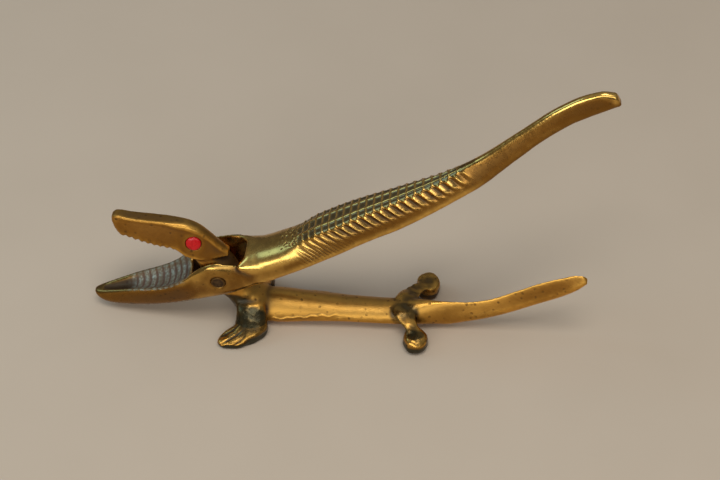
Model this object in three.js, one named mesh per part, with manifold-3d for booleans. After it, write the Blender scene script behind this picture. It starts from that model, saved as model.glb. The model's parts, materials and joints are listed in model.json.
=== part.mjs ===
// A cast brass nutcracker in the shape of a standing crocodile.
// Two levers cross at a rivet behind the head. The back lever is the lower jaw, the cheeks, the scaled back
// and the upper tail. The belly lever is the head with the upper jaw, a tongue that passes through the slot
// between the cheeks, the chest, the belly, four legs and the lower tail.
// Millimetres, +Z up, head towards -X, the animal's left side towards -Y.
// Both levers are drawn with the rivet axis at their origin. The back lever is drawn closed, then raised.

import * as THREE from 'three';
import { mergeVertices } from 'three/addons/utils/BufferGeometryUtils.js';
import Module from 'manifold-3d';

const wasm = await Module();
wasm.setup();

// Driving dimensions of the pivot
const openAngle = THREE.MathUtils.degToRad(28);
const slotHalfWidth = 5.6;
const slotFront = 11.5;
const slotRear = 12.6;
const slotCorner = 2.2;
const cheekWall = 2.5;
const shoulderStep = 0.7;
const runningClearance = 0.35;
const rivetRadius = 2.5;
const rivetClearance = 0.2;
const rivetProud = 0.12;

// Driving dimensions of the lower jaw, the back and the upper tail
const jawReach = 49.9;
const chinWall = 3.7;
const rimWall = 1.1;
const trayDepth = 3.4;
const smoothTray = 11.2;
const trayIntoSlot = 2.5;
const plainTray = 1.5;
const ridgeHeight = 0.7;
const ridgePitch = 2.5;
const backReach = 157;
const ribHeight = 0.45;
const ribPitch = 3.1;
const ribSlant = 0.35;
const ribsFrom = 32;
const ribsTo = 98;

// Driving dimensions of the head
const headReach = 36.7;
const napeReach = 3.4;
const toothDepth = 0.8;
const toothPitch = 2.2;
const snoutTip = 2.7;
const teethTo = 14;
const toothWidth = 0.5;
const palateRise = 1.2;
const headEdge = 1;
const eyeRadius = 2.7;
const eyeBack = 8.4;
const eyeHeight = 14.6;
const eyeSeatDepth = 1.8;
const eyeDome = 0.7;
const eyeGap = 0.15;
const eyeFacets = 28;

// Driving dimensions of the chest, the belly, the legs and the lower tail
const tongueDrop = 7.5;
const bellyDrop = 21.6;
const groundClearance = 1.6;
const chestHalfWidth = 6.6;
const bellyFront = 8;
const lowerTailReach = 128.8;
const frontLegPlace = 10.6;
const frontFootStep = 2.3;
const frontFootSpread = 13.5;
const frontFootHalfLength = 9.5;
const frontFootHalfWidth = 4.4;
const frontFootTurn = THREE.MathUtils.degToRad(27);
const rearLegPlace = 64.5;
const hipLength = 23.5;
const rearFootStepLeft = 5.7;
const rearFootStepRight = 8.8;
const rearFootSpreadLeft = 11.8;
const rearFootSpreadRight = 14.1;
const rearFootRadius = 4.4;
const rearFootHeight = 7.8;

// Spacing of the sections that the castings are drawn with
const endStep = 0.8;
const bodyStep = 1.8;
const plainStep = 3.2;

// Sizes that follow from them
const cheekHalfWidth = slotHalfWidth + cheekWall;
const shoulderHalfWidth = cheekHalfWidth + shoulderStep;
const tongueHalfWidth = slotHalfWidth - runningClearance;
const trayFront = jawReach - chinWall;
const trayRear = slotFront - trayIntoSlot;
const ridgesFrom = trayFront - smoothTray;
const ridgesTo = slotFront + plainTray;
const teethFrom = headReach - snoutTip;
const bellyLevel = -bellyDrop;
const soleLevel = bellyLevel - groundClearance;
const frontFootPlace = frontLegPlace - frontFootStep;
const tailRoot = rearLegPlace + hipLength;

const brass = { color: 0x9a6a24, metalness: 1, roughness: 0.34 };
const castBrass = { color: 0xa8702a, metalness: 1, roughness: 0.42 };
const darkSteel = { color: 0x3a2a18, metalness: 0.9, roughness: 0.5 };
const redGlass = { color: 0xb3140f, metalness: 0, roughness: 0.12 };

// A smooth curve through knots of [place, value] that never swings past its knots
function curveThrough(knots) {
  const steps = knots.slice(1).map((knot, i) => (knot[1] - knots[i][1]) / (knot[0] - knots[i][0]));
  const slopes = knots.map((knot, i) => {
    if (i === 0) return steps[0];
    if (i === steps.length) return steps[i - 1];
    if (steps[i - 1] * steps[i] <= 0) return 0;
    return 2 / (1 / steps[i - 1] + 1 / steps[i]);
  });
  return (place) => {
    const last = knots.length - 1;
    if (place <= knots[0][0]) return knots[0][1];
    if (place >= knots[last][0]) return knots[last][1];
    const next = knots.findIndex((knot) => knot[0] >= place);
    const span = knots[next][0] - knots[next - 1][0];
    const t = (place - knots[next - 1][0]) / span;
    const rise = knots[next][1] - knots[next - 1][1];
    const bend = t * t * (3 - 2 * t);
    const leave = t * (1 - t) * (1 - t) * slopes[next - 1];
    const arrive = t * t * (t - 1) * slopes[next];
    return knots[next - 1][1] + rise * bend + span * (leave + arrive);
  };
}

// Knots whose places are shares of the way between two ends, so that an outline stretches with them
function stretched(from, to, knots) {
  return knots.map(([share, value]) => [from + share * (to - from), value]);
}

// Evenly spaced places from one end to the other, both included
function placesBetween(from, to, step) {
  const count = Math.max(1, Math.round(Math.abs(to - from) / step));
  return Array.from({ length: count + 1 }, (_, i) => from + ((to - from) * i) / count);
}

// One to nought to one again over each pitch
function wave(place, pitch) {
  return 0.5 + 0.5 * Math.cos((2 * Math.PI * place) / pitch);
}

// Nought outside a stretch, one well inside it
function fade(place, from, to, ramp) {
  const rise = THREE.MathUtils.smoothstep(place, from, from + ramp);
  const fall = 1 - THREE.MathUtils.smoothstep(place, to - ramp, to);
  return rise * fall;
}

// A closed skin over rings that all have the same number of points, with a fan over each end
function loft(rings) {
  const count = rings[0].length;
  const middle = (ring) => ring.reduce((sum, p) => sum.add(p), new THREE.Vector3()).divideScalar(count);
  const points = [...rings.flat(), middle(rings[0]), middle(rings[rings.length - 1])];
  const firstMiddle = points.length - 2;
  const lastMiddle = points.length - 1;
  const lastRing = (rings.length - 1) * count;
  const faces = [];
  for (let i = 0; i < count; i++) {
    const j = (i + 1) % count;
    for (let ring = 0; ring < lastRing; ring += count) {
      faces.push([ring + i, ring + j, ring + count + j], [ring + i, ring + count + j, ring + count + i]);
    }
    faces.push([firstMiddle, j, i], [lastMiddle, lastRing + i, lastRing + j]);
  }
  const volume = faces.reduce((sum, f) => {
    const across = new THREE.Vector3().crossVectors(points[f[1]], points[f[2]]);
    return sum + points[f[0]].dot(across);
  }, 0);
  const outward = volume > 0 ? faces : faces.map((f) => [f[0], f[2], f[1]]);
  const geometry = new THREE.BufferGeometry().setFromPoints(points);
  geometry.setIndex(outward.flat());
  return geometry;
}

function solidFrom(geometry) {
  const bare = geometry.clone();
  bare.deleteAttribute('normal');
  bare.deleteAttribute('uv');
  const merged = mergeVertices(bare);
  return new wasm.Manifold(new wasm.Mesh({
    numProp: 3,
    vertProperties: merged.attributes.position.array,
    triVerts: new Uint32Array(merged.index.array),
  }));
}

function meshFrom(name, solid, finish) {
  const cut = solid.getMesh();
  const geometry = new THREE.BufferGeometry();
  geometry.setAttribute('position', new THREE.BufferAttribute(new Float32Array(cut.vertProperties), 3));
  geometry.setIndex(new THREE.BufferAttribute(new Uint32Array(cut.triVerts), 1));
  geometry.computeVertexNormals();
  const mesh = new THREE.Mesh(geometry, new THREE.MeshStandardMaterial(finish));
  mesh.name = name;
  return mesh;
}

// A cylinder that lies along Y through the rivet axis
function crossBar(radius, halfLength) {
  const facets = 32;
  return new THREE.CylinderGeometry(radius, radius, 2 * halfLength, facets);
}

// The right half of a section becomes a whole ring: half runs from the bottom middle to the top middle
function mirrored(half, place) {
  const left = half.slice(1, -1).reverse().map(([y, z]) => [-y, z]);
  return [...half, ...left].map(([y, z]) => place(y, z));
}

// Outline of the back lever, closed, seen from the side and from above
const jawKnots = (knots) => stretched(0, -jawReach, knots);
const backKnots = (knots) => stretched(0, backReach, knots);
const underside = curveThrough([
  ...jawKnots([[1, 5.4], [0.95, 1.9], [0.84, -1.1], [0.54, -5.9]]),
  [-slotFront + 2.5, -8.2], [1, -9], [slotRear + 0.4, -7.9], [slotRear + 7.4, -7.2],
  ...backKnots([[0.191, -6.4], [0.28, -4.9], [0.382, -3.1], [0.44, -2.6], [0.52, -0.8], [0.605, 1.7]]),
  ...backKnots([[0.656, 3.4], [0.75, 8.9], [0.841, 13.8], [0.911, 15.8], [1, 16]]),
]);
const topLine = curveThrough([
  ...jawKnots([[1, 7.6], [0.691, 5.7], [0.411, 3.7]]),
  [-slotFront - 0.5, 5], [-4.7, 7.4], [0, 8.2], [5.6, 7.1], [slotRear - 1.6, 5.4], [slotRear + 9.4, 4.1],
  ...backKnots([[0.172, 4.2], [0.223, 4.9], [0.268, 6.2], [0.306, 6.7], [0.382, 7.6], [0.459, 8.05]]),
  ...backKnots([[0.535, 8.8], [0.573, 9.3], [0.611, 10.3], [0.682, 12.7], [0.783, 17.7], [0.885, 22.4]]),
  ...backKnots([[0.936, 23.4], [0.975, 22.8], [1, 20.4]]),
]);
const crownRise = curveThrough([
  [-jawReach, 0.3], [-4, 0.3], [slotRear + 1.4, 1],
  ...backKnots([[0.172, 1.2], [0.223, 1], [0.306, 0.8], [0.382, 0.5], [1, 0.4]]),
]);
const lowerHalfWidth = curveThrough([
  ...jawKnots([[1, 1.2], [0.97, 2.1], [0.854, 3.5], [0.691, 4.9], [0.531, 6.1]]),
  [-slotFront + 1.5, cheekHalfWidth - 0.3], [-4, cheekHalfWidth], [slotRear - 2.2, cheekHalfWidth],
  [slotRear - 0.2, shoulderHalfWidth],
  ...backKnots([[0.191, shoulderHalfWidth - 0.1], [0.287, 8.3], [0.382, 7.7], [0.503, 6.8], [0.605, 5.6]]),
  ...backKnots([[0.713, 4.4], [0.815, 3.8], [1, 3]]),
]);
const upperHalfWidth = curveThrough([
  ...jawKnots([[1, 1], [0.97, 1.9], [0.854, 3.3], [0.691, 4.7], [0.531, 5.9]]),
  [-slotFront + 1.5, cheekHalfWidth - 0.5], [0, cheekHalfWidth - 0.2], [slotRear - 3.6, cheekHalfWidth - 0.4],
  [slotRear + 1.4, cheekHalfWidth - 1.5], [slotRear + 9.4, 5.1],
  ...backKnots([[0.172, 4.6], [0.223, 4.9], [0.268, 5.4], [0.306, 5.5], [0.382, 4.75], [0.459, 3.95]]),
  ...backKnots([[0.535, 2.9], [0.611, 1.85], [0.662, 1.4], [0.783, 1], [0.94, 1.4], [1, 1.2]]),
]);
const widestShare = curveThrough([
  ...jawKnots([[1, 0.7], [0.6, 0.6]]),
  [-slotFront + 1.5, 0.4], [0, 0.3], [slotRear + 7.4, 0.25],
  ...backKnots([[0.287, 0.14]]),
]);

// Flank ribs lean back, so each point of a ring moves along the back by its height
function backRing(along) {
  const ribbed = fade(along, ribsFrom, ribsTo, 2 * ribPitch);
  const rib = ribHeight * ribbed * wave(along, ribPitch);
  const bottom = underside(along);
  const crown = topLine(along) - ribHeight * ribbed + rib;
  const crease = topLine(along) - crownRise(along);
  const widest = bottom + widestShare(along) * (crease - bottom);
  const lower = lowerHalfWidth(along);
  const upper = upperHalfWidth(along) - ribHeight * ribbed + rib;
  const half = [];
  const roundSteps = 4;
  const roundness = 0.75;
  for (let i = 0; i <= roundSteps; i++) {
    const turn = (i / roundSteps) * (Math.PI / 2);
    const y = lower * Math.sin(turn) ** roundness;
    half.push([y, widest - (widest - bottom) * Math.cos(turn) ** roundness]);
  }
  half.push([(lower + upper) / 2 + rib / 2, (widest + crease) / 2]);
  for (const turn of [0, 1, 2, 3].map((i) => (i * Math.PI) / 6)) {
    half.push([upper * Math.cos(turn), crease + (crown - crease) * Math.sin(turn)]);
  }
  const lean = (z) => ribSlant * ribbed * (crease - Math.min(z, crease));
  return mirrored(half, (y, z) => new THREE.Vector3(along + lean(z), y, z));
}

// The dish between the jaw's rims deepens towards the rear, where ridges cross it
const trayKnots = [[0, 0.15], [0.187, 0.56], [0.548, 0.85], [1, 1]];
const trayShare = curveThrough(stretched(-trayFront, -ridgesTo, trayKnots));

function trayRing(along) {
  const rim = topLine(along);
  const halfWidth = Math.max(0.5, upperHalfWidth(along) - rimWall);
  const ridge = ridgeHeight * fade(along, -ridgesFrom, -ridgesTo, ridgePitch) * wave(along, ridgePitch);
  const floor = rim - trayDepth * trayShare(along) + ridge;
  const lip = 0.2;
  const above = rim + 6;
  const shares = [0, 0.35, 0.7, 0.92, 1];
  const half = shares.map((share) => [halfWidth * share, floor + (rim - lip - floor) * share ** 3]);
  half.push([halfWidth + 2 * lip, above], [0, above]);
  return mirrored(half, (y, z) => new THREE.Vector3(along, y, z));
}

// A slot with rounded corners, cut right through from top to bottom
function slotCutter() {
  const shape = new THREE.Shape();
  const front = -slotFront + slotCorner;
  const rear = slotRear - slotCorner;
  const side = slotHalfWidth - slotCorner;
  shape.absarc(rear, side, slotCorner, 0, Math.PI / 2);
  shape.absarc(front, side, slotCorner, Math.PI / 2, Math.PI);
  shape.absarc(front, -side, slotCorner, Math.PI, 1.5 * Math.PI);
  shape.absarc(rear, -side, slotCorner, 1.5 * Math.PI, 2 * Math.PI);
  shape.closePath();
  const depth = 40;
  const cutter = new THREE.ExtrudeGeometry(shape, { depth, bevelEnabled: false, curveSegments: 5 });
  return cutter.translate(0, 0, -depth / 2);
}

function backLever() {
  const tipFrom = backReach - 4.5;
  const places = [
    ...placesBetween(-jawReach, -trayFront, endStep),
    ...placesBetween(-trayFront + bodyStep, ribsFrom, bodyStep),
    ...placesBetween(ribsFrom + ribPitch / 4, ribsTo, ribPitch / 4),
    ...placesBetween(ribsTo + bodyStep, tipFrom - bodyStep, plainStep),
    ...placesBetween(tipFrom, backReach, endStep),
  ];
  const casting = solidFrom(loft(places.map(backRing)));
  const tray = solidFrom(loft(placesBetween(-trayFront, -trayRear, ridgePitch / 4).map(trayRing)));
  const slot = solidFrom(slotCutter());
  const hole = solidFrom(crossBar(rivetRadius + rivetClearance, 2 * cheekHalfWidth));
  return meshFrom('back_lever', casting.subtract(tray).subtract(slot).subtract(hole), brass);
}

// Outline of the head, seen from the side and from above
const snoutKnots = (knots) => stretched(0, -headReach, knots);
const headTop = curveThrough([
  ...snoutKnots([[1, 23.4], [0.959, 24.3], [0.817, 23.4], [0.463, 22.5]]),
  [-11.5, 21.9], [-7, 20], [-3.4, 16.7], [0, 12.6], [napeReach, 9],
]);
const toothLine = curveThrough([
  ...snoutKnots([[1, 21], [0.965, 18.4], [0.91, 16.2], [0.828, 15.7], [0.635, 13.9]]),
  [-14.3, 11.8], [-11.6, 9.3], [-8.5, 7.9], [-4, 7.4], [napeReach, 7.6],
]);
const headLowerHalf = curveThrough([
  ...snoutKnots([[1, 1.5], [0.965, 2.8], [0.896, 3.7], [0.73, tongueHalfWidth - 0.45]]),
  ...snoutKnots([[0.545, tongueHalfWidth]]),
  [-9, tongueHalfWidth], [-3, tongueHalfWidth - 0.85], [napeReach, 2.2],
]);
const headUpperHalf = curveThrough([
  ...snoutKnots([[1, 1.2], [0.965, 1.9], [0.845, 2.3], [0.545, 2.4]]),
  [-9, 2.2], [-3, 1.7], [napeReach, 1.2],
]);

// The head's section at one place: its top edge is rounded, less so where the head is low
function headSides(along) {
  const top = headTop(along);
  const low = toothLine(along);
  const edge = Math.min(headEdge, 0.2 * (top - low));
  return { top, low, crease: top - edge, lower: headLowerHalf(along), upper: headUpperHalf(along) };
}

function headRing(along) {
  const { top, low, crease, lower, upper } = headSides(along);
  const biting = fade(along, -teethFrom, -teethTo, toothPitch / 2);
  const notch = toothDepth * biting * (1 - wave(along, toothPitch));
  const rise = Math.min(palateRise, 0.3 * (top - low));
  const gum = low + 0.6 * toothWidth;
  const half = [
    [0, low + rise],
    [0.6 * lower, low + 0.8 * rise],
    [lower - toothWidth, low + notch],
    [lower, gum + notch],
    [(lower + upper) / 2, (gum + crease) / 2],
    [upper, crease],
    [0.8 * upper, crease + 0.75 * (top - crease)],
    [0, top],
  ];
  return mirrored(half, (y, z) => new THREE.Vector3(along, y, z));
}

// The middle of an eye on the head's flank, and how far the flank leans back there
function eyeSeat() {
  const { low, crease, lower, upper } = headSides(-eyeBack);
  const share = (eyeHeight - low) / (crease - low);
  const lean = Math.atan2(lower - upper, crease - low);
  return { spread: lower + (upper - lower) * share, lean };
}

// Turns a bead drawn along +Y so that it looks out of the head: side is -1 for the left, +1 for the right
function placedAtEye(geometry, side) {
  const { spread, lean } = eyeSeat();
  if (side < 0) geometry.rotateZ(Math.PI);
  geometry.rotateX(side * lean);
  return geometry.translate(-eyeBack, side * spread, eyeHeight);
}

function eyeBead(side) {
  const profile = [new THREE.Vector2(0, -eyeSeatDepth), new THREE.Vector2(eyeRadius, -eyeSeatDepth)];
  const domeSteps = 5;
  for (let i = 0; i <= domeSteps; i++) {
    const turn = (i / domeSteps) * (Math.PI / 2);
    profile.push(new THREE.Vector2(eyeRadius * Math.cos(turn), eyeDome * Math.sin(turn)));
  }
  profile[profile.length - 1].x = 0;
  return placedAtEye(new THREE.LatheGeometry(profile, eyeFacets), side);
}

function eyeSocket(side) {
  const reach = 4;
  const depth = eyeSeatDepth + eyeGap;
  const radius = eyeRadius + eyeGap;
  const socket = new THREE.CylinderGeometry(radius, radius, depth + reach, eyeFacets);
  return placedAtEye(socket.translate(0, (reach - depth) / 2, 0), side);
}

// A cosine or sine drawn out towards a square, so that an oval gets fuller corners
function squared(value, squareness) {
  return Math.sign(value) * Math.abs(value) ** squareness;
}

// An upright post with oval sections: each row is [height, from, to, half width]
function post(rows) {
  const corners = 20;
  const squareness = 0.7;
  return loft(rows.map(([height, from, to, halfWidth]) => {
    const middle = (from + to) / 2;
    const halfLength = (to - from) / 2;
    return Array.from({ length: corners }, (_, i) => {
      const turn = (2 * Math.PI * i) / corners;
      const x = middle + halfLength * squared(Math.cos(turn), squareness);
      const y = halfWidth * squared(Math.sin(turn), squareness);
      return new THREE.Vector3(x, y, height);
    });
  }));
}

// The tongue hangs from the head, carries the rivet and widens below the slot into the chest
function tongueAndChest() {
  const neck = tongueHalfWidth - 0.25;
  const front = -slotFront;
  const rear = slotRear;
  const chest = chestHalfWidth;
  const down = (share) => THREE.MathUtils.lerp(-tongueDrop, bellyLevel, share);
  return post([
    [11, front + 2.9, rear - 14.6, neck - 1],
    [8.4, front + 2.1, rear - 13.6, neck - 0.2],
    [6.4, front + 2.5, rear - 12, neck],
    [3, front + 4.1, rear - 8, tongueHalfWidth],
    [-3, front + 5.1, rear - 5.4, tongueHalfWidth],
    [-tongueDrop, front + 7.9, rear - 2.6, tongueHalfWidth],
    [down(0.25), bellyFront - 7.8, bellyFront + 6.5, (tongueHalfWidth + chest) / 2 - 0.3],
    [down(0.46), bellyFront - 5.4, bellyFront + 9.5, chest - 0.3],
    [down(0.745), bellyFront - 3.8, bellyFront + 11.5, chest],
    [down(0.957), bellyFront - 3, bellyFront + 11.5, chest - 0.4],
    [bellyLevel, bellyFront - 2, bellyFront + 11, chest - 1.2],
  ]);
}

// Outline of the belly and the lower tail, seen from the side, as heights over the belly, and from above
const bellyKnots = (knots) => stretched(bellyFront, rearLegPlace, knots);
const hipKnots = (knots) => stretched(rearLegPlace, tailRoot, knots);
const tailKnots = (knots) => stretched(tailRoot, lowerTailReach, knots);
const bellyTop = curveThrough([
  ...bellyKnots([[0, 9], [0.212, 9.2], [0.425, 8.2], [0.655, 7.4], [0.85, 7.4], [0.991, 8.2]]),
  ...hipKnots([[0.319, 9.6], [0.66, 10.4], [1, 11]]),
  ...tailKnots([[0.147, 12.5], [0.441, 19.3], [0.613, 23.6], [0.784, 26.8]]),
  ...tailKnots([[0.907, 28.6], [0.966, 28.5], [1, 27.2]]),
]);
const bellyBottom = curveThrough([
  ...bellyKnots([[0, -0.7], [0.195, -0.9], [0.425, 0.2], [0.655, 0.8], [0.991, 0.7]]),
  ...hipKnots([[0.447, 0.3], [0.66, 0.3], [1, 2.4]]),
  ...tailKnots([[0.27, 6.6], [0.613, 14.3], [0.809, 19.4], [0.931, 23.8], [1, 26.2]]),
]);
const bellyHalf = curveThrough([
  ...bellyKnots([[0, chestHalfWidth + 0.3], [0.212, chestHalfWidth + 0.6]]),
  ...bellyKnots([[0.425, 6.5], [0.655, 5.9], [0.956, 5.5]]),
  ...hipKnots([[0.234, 4.7], [0.574, 3.5]]),
  ...tailKnots([[0.05, 2.7], [0.613, 2.3], [0.907, 2], [1, 1]]),
]);

function bellyRing(along) {
  const top = bellyLevel + bellyTop(along);
  const bottom = bellyLevel + bellyBottom(along);
  const half = bellyHalf(along);
  const middleShare = 0.42;
  const middle = THREE.MathUtils.lerp(bottom, top, middleShare);
  const corners = 16;
  const squareness = 0.8;
  return Array.from({ length: corners }, (_, i) => {
    const turn = (2 * Math.PI * i) / corners;
    const reach = Math.sin(turn) > 0 ? top - middle : middle - bottom;
    const y = half * squared(Math.cos(turn), squareness);
    return new THREE.Vector3(along, y, middle + reach * squared(Math.sin(turn), squareness));
  });
}

function bellyAndTail() {
  const tipFrom = lowerTailReach - 7.3;
  const body = placesBetween(bellyFront, tipFrom - bodyStep, plainStep);
  const tip = placesBetween(tipFrom, lowerTailReach, endStep);
  return loft([...body, ...tip].map(bellyRing));
}

// A leg with level oval sections: each row is [height, x, y, half length, half width, turn]
function leg(rows) {
  const corners = 20;
  return loft(rows.map(([height, x, y, halfLength, halfWidth, turn]) => {
    const sole = new THREE.EllipseCurve(x, y, halfLength, halfWidth, 0, 2 * Math.PI, false, turn);
    return sole.getPoints(corners).slice(0, corners).map((p) => new THREE.Vector3(p.x, p.y, height));
  }));
}

function frontLeg(side) {
  const turn = -side * frontFootTurn;
  const length = frontFootHalfLength;
  const width = frontFootHalfWidth;
  const knee = (chestHalfWidth + frontFootSpread) / 2;
  return leg([
    [bellyLevel + 9.8, frontLegPlace - 0.4, side * (chestHalfWidth - 2), 4.4, 2.4, 0],
    [bellyLevel + 8, frontLegPlace, side * (chestHalfWidth - 0.2), 5.2, 3.6, 0],
    [bellyLevel + 5.6, frontLegPlace + 0.6, side * (knee - 1), 5.6, 4.2, 0],
    [bellyLevel + 3.2, frontLegPlace + 0.6, side * (frontFootSpread - 2), 6, 4.4, turn / 2],
    [soleLevel + 2.6, frontFootPlace + 0.4, side * (frontFootSpread - 0.3), length - 0.8, width, turn],
    [soleLevel + 1, frontFootPlace, side * frontFootSpread, length, width, turn],
    [soleLevel, frontFootPlace, side * frontFootSpread, length - 0.5, width - 0.4, turn],
  ]);
}

function rearLeg(side) {
  const spread = side < 0 ? rearFootSpreadLeft : rearFootSpreadRight;
  const step = side < 0 ? rearFootStepLeft : rearFootStepRight;
  const place = rearLegPlace + step;
  const radius = rearFootRadius;
  const hip = bellyLevel + 9.2;
  const instep = soleLevel + rearFootHeight;
  const down = (share) => THREE.MathUtils.lerp(hip, instep, share);
  return leg([
    [hip, rearLegPlace + 0.1 * step, side * 2.6, 2.6, 1.6, 0],
    [down(0.35), rearLegPlace + 0.25 * step, side * 0.36 * spread, 3.3, 2.8, 0],
    [down(0.75), rearLegPlace + 0.6 * step, side * 0.64 * spread, 3.6, 3.3, 0],
    [instep, place - 0.9, side * (spread - 1.2), radius - 0.9, radius - 0.6, 0],
    [instep - 1.2, place - 0.2, side * (spread - 0.2), radius - 0.1, radius + 0.3, 0],
    [soleLevel + 2.2, place, side * spread, radius, radius + 0.4, 0],
    [soleLevel + 0.8, place, side * spread, radius - 0.2, radius + 0.1, 0],
    [soleLevel, place, side * spread, radius - 0.8, radius - 0.5, 0],
  ]);
}

function bellyLever() {
  const places = [
    ...placesBetween(-headReach, -teethFrom - endStep, endStep),
    ...placesBetween(-teethFrom, -teethTo, toothPitch / 4),
    ...placesBetween(-teethTo + endStep, napeReach, bodyStep),
  ];
  let casting = solidFrom(loft(places.map(headRing)));
  const limbs = [-1, 1].flatMap((side) => [frontLeg(side), rearLeg(side)]);
  for (const piece of [tongueAndChest(), bellyAndTail(), ...limbs]) casting = casting.add(solidFrom(piece));
  for (const side of [-1, 1]) casting = casting.subtract(solidFrom(eyeSocket(side)));
  const hole = solidFrom(crossBar(rivetRadius + rivetClearance, 2 * cheekHalfWidth));
  return meshFrom('belly_lever', casting.subtract(hole), castBrass);
}

function pivotRivet() {
  return meshFrom('pivot_rivet', solidFrom(crossBar(rivetRadius, cheekHalfWidth + rivetProud)), darkSteel);
}

const raised = new THREE.Group();
raised.add(backLever(), pivotRivet());
raised.rotation.y = -openAngle;

const nutcracker = new THREE.Group();
nutcracker.add(raised, bellyLever());
nutcracker.add(meshFrom('left_eye', solidFrom(eyeBead(-1)), redGlass));
nutcracker.add(meshFrom('right_eye', solidFrom(eyeBead(1)), redGlass));

// The origin is the middle of the animal's box, on the table
const box = new THREE.Box3().setFromObject(nutcracker, true);
const middle = box.getCenter(new THREE.Vector3());
nutcracker.position.set(-middle.x, -middle.y, -box.min.z);

export default nutcracker;
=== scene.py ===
# %% [markdown]
# A cast brass nutcracker in the shape of a standing crocodile. Two levers cross at a rivet behind the head.
# The back lever is the lower jaw, the cheeks, the scaled back and the upper tail. The belly lever is the
# head, a tongue between the cheeks, the chest, the belly, four legs and the lower tail.
# The solids of the model come as a fixed frame, in metres. This lesson gives each of them the soft edges,
# the carving and the aged finish of the real casting, and leaves every size and every joint as it is.

# %% Load the frame
import json
import math

import bmesh
import bpy
import numpy as np
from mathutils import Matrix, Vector


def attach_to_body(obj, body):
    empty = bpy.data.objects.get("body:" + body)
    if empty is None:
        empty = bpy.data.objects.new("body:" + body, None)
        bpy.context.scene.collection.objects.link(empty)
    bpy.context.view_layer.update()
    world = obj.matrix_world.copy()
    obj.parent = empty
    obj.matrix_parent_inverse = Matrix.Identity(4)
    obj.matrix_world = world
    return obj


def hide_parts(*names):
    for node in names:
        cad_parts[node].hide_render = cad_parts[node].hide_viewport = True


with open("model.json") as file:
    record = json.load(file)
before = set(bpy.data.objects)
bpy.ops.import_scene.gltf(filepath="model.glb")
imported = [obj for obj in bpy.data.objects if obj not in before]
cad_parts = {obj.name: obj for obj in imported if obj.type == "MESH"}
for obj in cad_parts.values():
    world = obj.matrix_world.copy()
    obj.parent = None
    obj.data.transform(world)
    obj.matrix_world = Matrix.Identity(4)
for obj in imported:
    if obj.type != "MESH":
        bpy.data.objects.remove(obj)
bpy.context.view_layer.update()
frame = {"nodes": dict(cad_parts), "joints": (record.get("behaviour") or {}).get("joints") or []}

MM = 0.001
hinge = frame["joints"][0]
pivot = np.array(hinge["pos_m"])
print("frame:", sorted(frame["nodes"]), "pivot", pivot)

# %% [markdown]
# A caster draws such a body as side and top outlines and files the pattern until they agree. Here an
# outline is a curve through a few knots of place and value. A common spline would be smooth too, but this
# curve never swings past its knots, so a bump is only where a knot asks for one.

# %% Curves through knots


def curve_through(*knots):
    places, values = np.array(knots, float).T
    steps = np.diff(values) / np.diff(places)
    before, after = steps[:-1], steps[1:]
    turning = before * after <= 0
    mean = 2 * before * after / np.where(turning, 1, before + after)
    slopes = np.concatenate([steps[:1], np.where(turning, 0, mean), steps[-1:]])

    def at(place):
        place = np.clip(place, places[0], places[-1])
        left = np.clip(np.searchsorted(places, place, side="right") - 1, 0, len(steps) - 1)
        span = places[left + 1] - places[left]
        t = (place - places[left]) / span
        rise = (values[left + 1] - values[left]) * t * t * (3 - 2 * t)
        leave = t * (1 - t) ** 2 * slopes[left]
        arrive = t * t * (t - 1) * slopes[left + 1]
        return values[left] + rise + span * (leave + arrive)

    return at


print("half way up a hill of height 1:", curve_through((0, 0), (1, 1), (2, 0))(0.5))

# %% [markdown]
# A body that is known by its outlines is skinned over its sections, as a boat is planked over its frames.
# Every section is a ring with the same count of points, so one function joins any of them. It turns the
# faces when they point inwards, because cutters and finishes need faces that point out.

# %% A skin over rings


def object_from(name, points, faces):
    mesh = bpy.data.meshes.new(name)
    mesh.from_pydata(np.asarray(points).tolist(), [], faces)
    mesh.update()
    made = bpy.data.objects.new(name, mesh)
    bpy.context.collection.objects.link(made)
    return made


def loft(name, rings):
    """A closed skin over rings of equal count, with a fan over each end and its faces pointing out."""
    count, corners = rings.shape[:2]
    points = np.vstack([rings.reshape(-1, 3), rings[0].mean(axis=0), rings[-1].mean(axis=0)])
    here = np.arange(corners)
    there = (here + 1) % corners
    start = corners * np.arange(count - 1)[:, None]
    sides = np.stack([start + here, start + there, start + corners + there, start + corners + here], -1)
    sides = sides.reshape(-1, 4)
    last = corners * (count - 1)
    first_fan = np.stack([np.full(corners, count * corners), there, here], -1)
    last_fan = np.stack([np.full(corners, count * corners + 1), last + here, last + there], -1)
    halves = np.vstack([sides[:, :3], sides[:, [0, 2, 3]], first_fan, last_fan])
    a, b, c = (points[halves[:, corner]] for corner in range(3))
    inside_out = np.einsum("ij,ij->i", a, np.cross(b, c)).sum() < 0
    faces = sides.tolist() + first_fan.tolist() + last_fan.tolist()
    if inside_out:
        faces = [face[::-1] for face in faces]
    return object_from(name, points, faces)


def both_sides(right, left=None):
    """Half sections of (y, z) from the bottom middle to the top middle become whole rings."""
    left = right if left is None else left
    y = np.hstack([right[0], -left[0][:, -2:0:-1]])
    z = np.hstack([right[1], left[1][:, -2:0:-1]])
    return y, z


def stacked(x, y, z):
    return np.stack(np.broadcast_arrays(x, y, z), -1)


def full_turn(count):
    return np.linspace(0, 2 * math.pi, count, endpoint=False)


# %% [markdown]
# Both levers are drawn about the rivet axis, in millimetres, as the pattern maker would lay them on a
# bench. The back lever is drawn closed and then raised to where the handles stand open, by the angle that
# the hinge has left for closing. Turning the object would do that too, but here every piece keeps the
# origin of the frame, so its points are turned.

# %% From the bench to the frame
open_angle = math.radians(hinge["range_deg"][1])


def belly_place(points):
    return np.asarray(points) * MM + pivot


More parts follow.
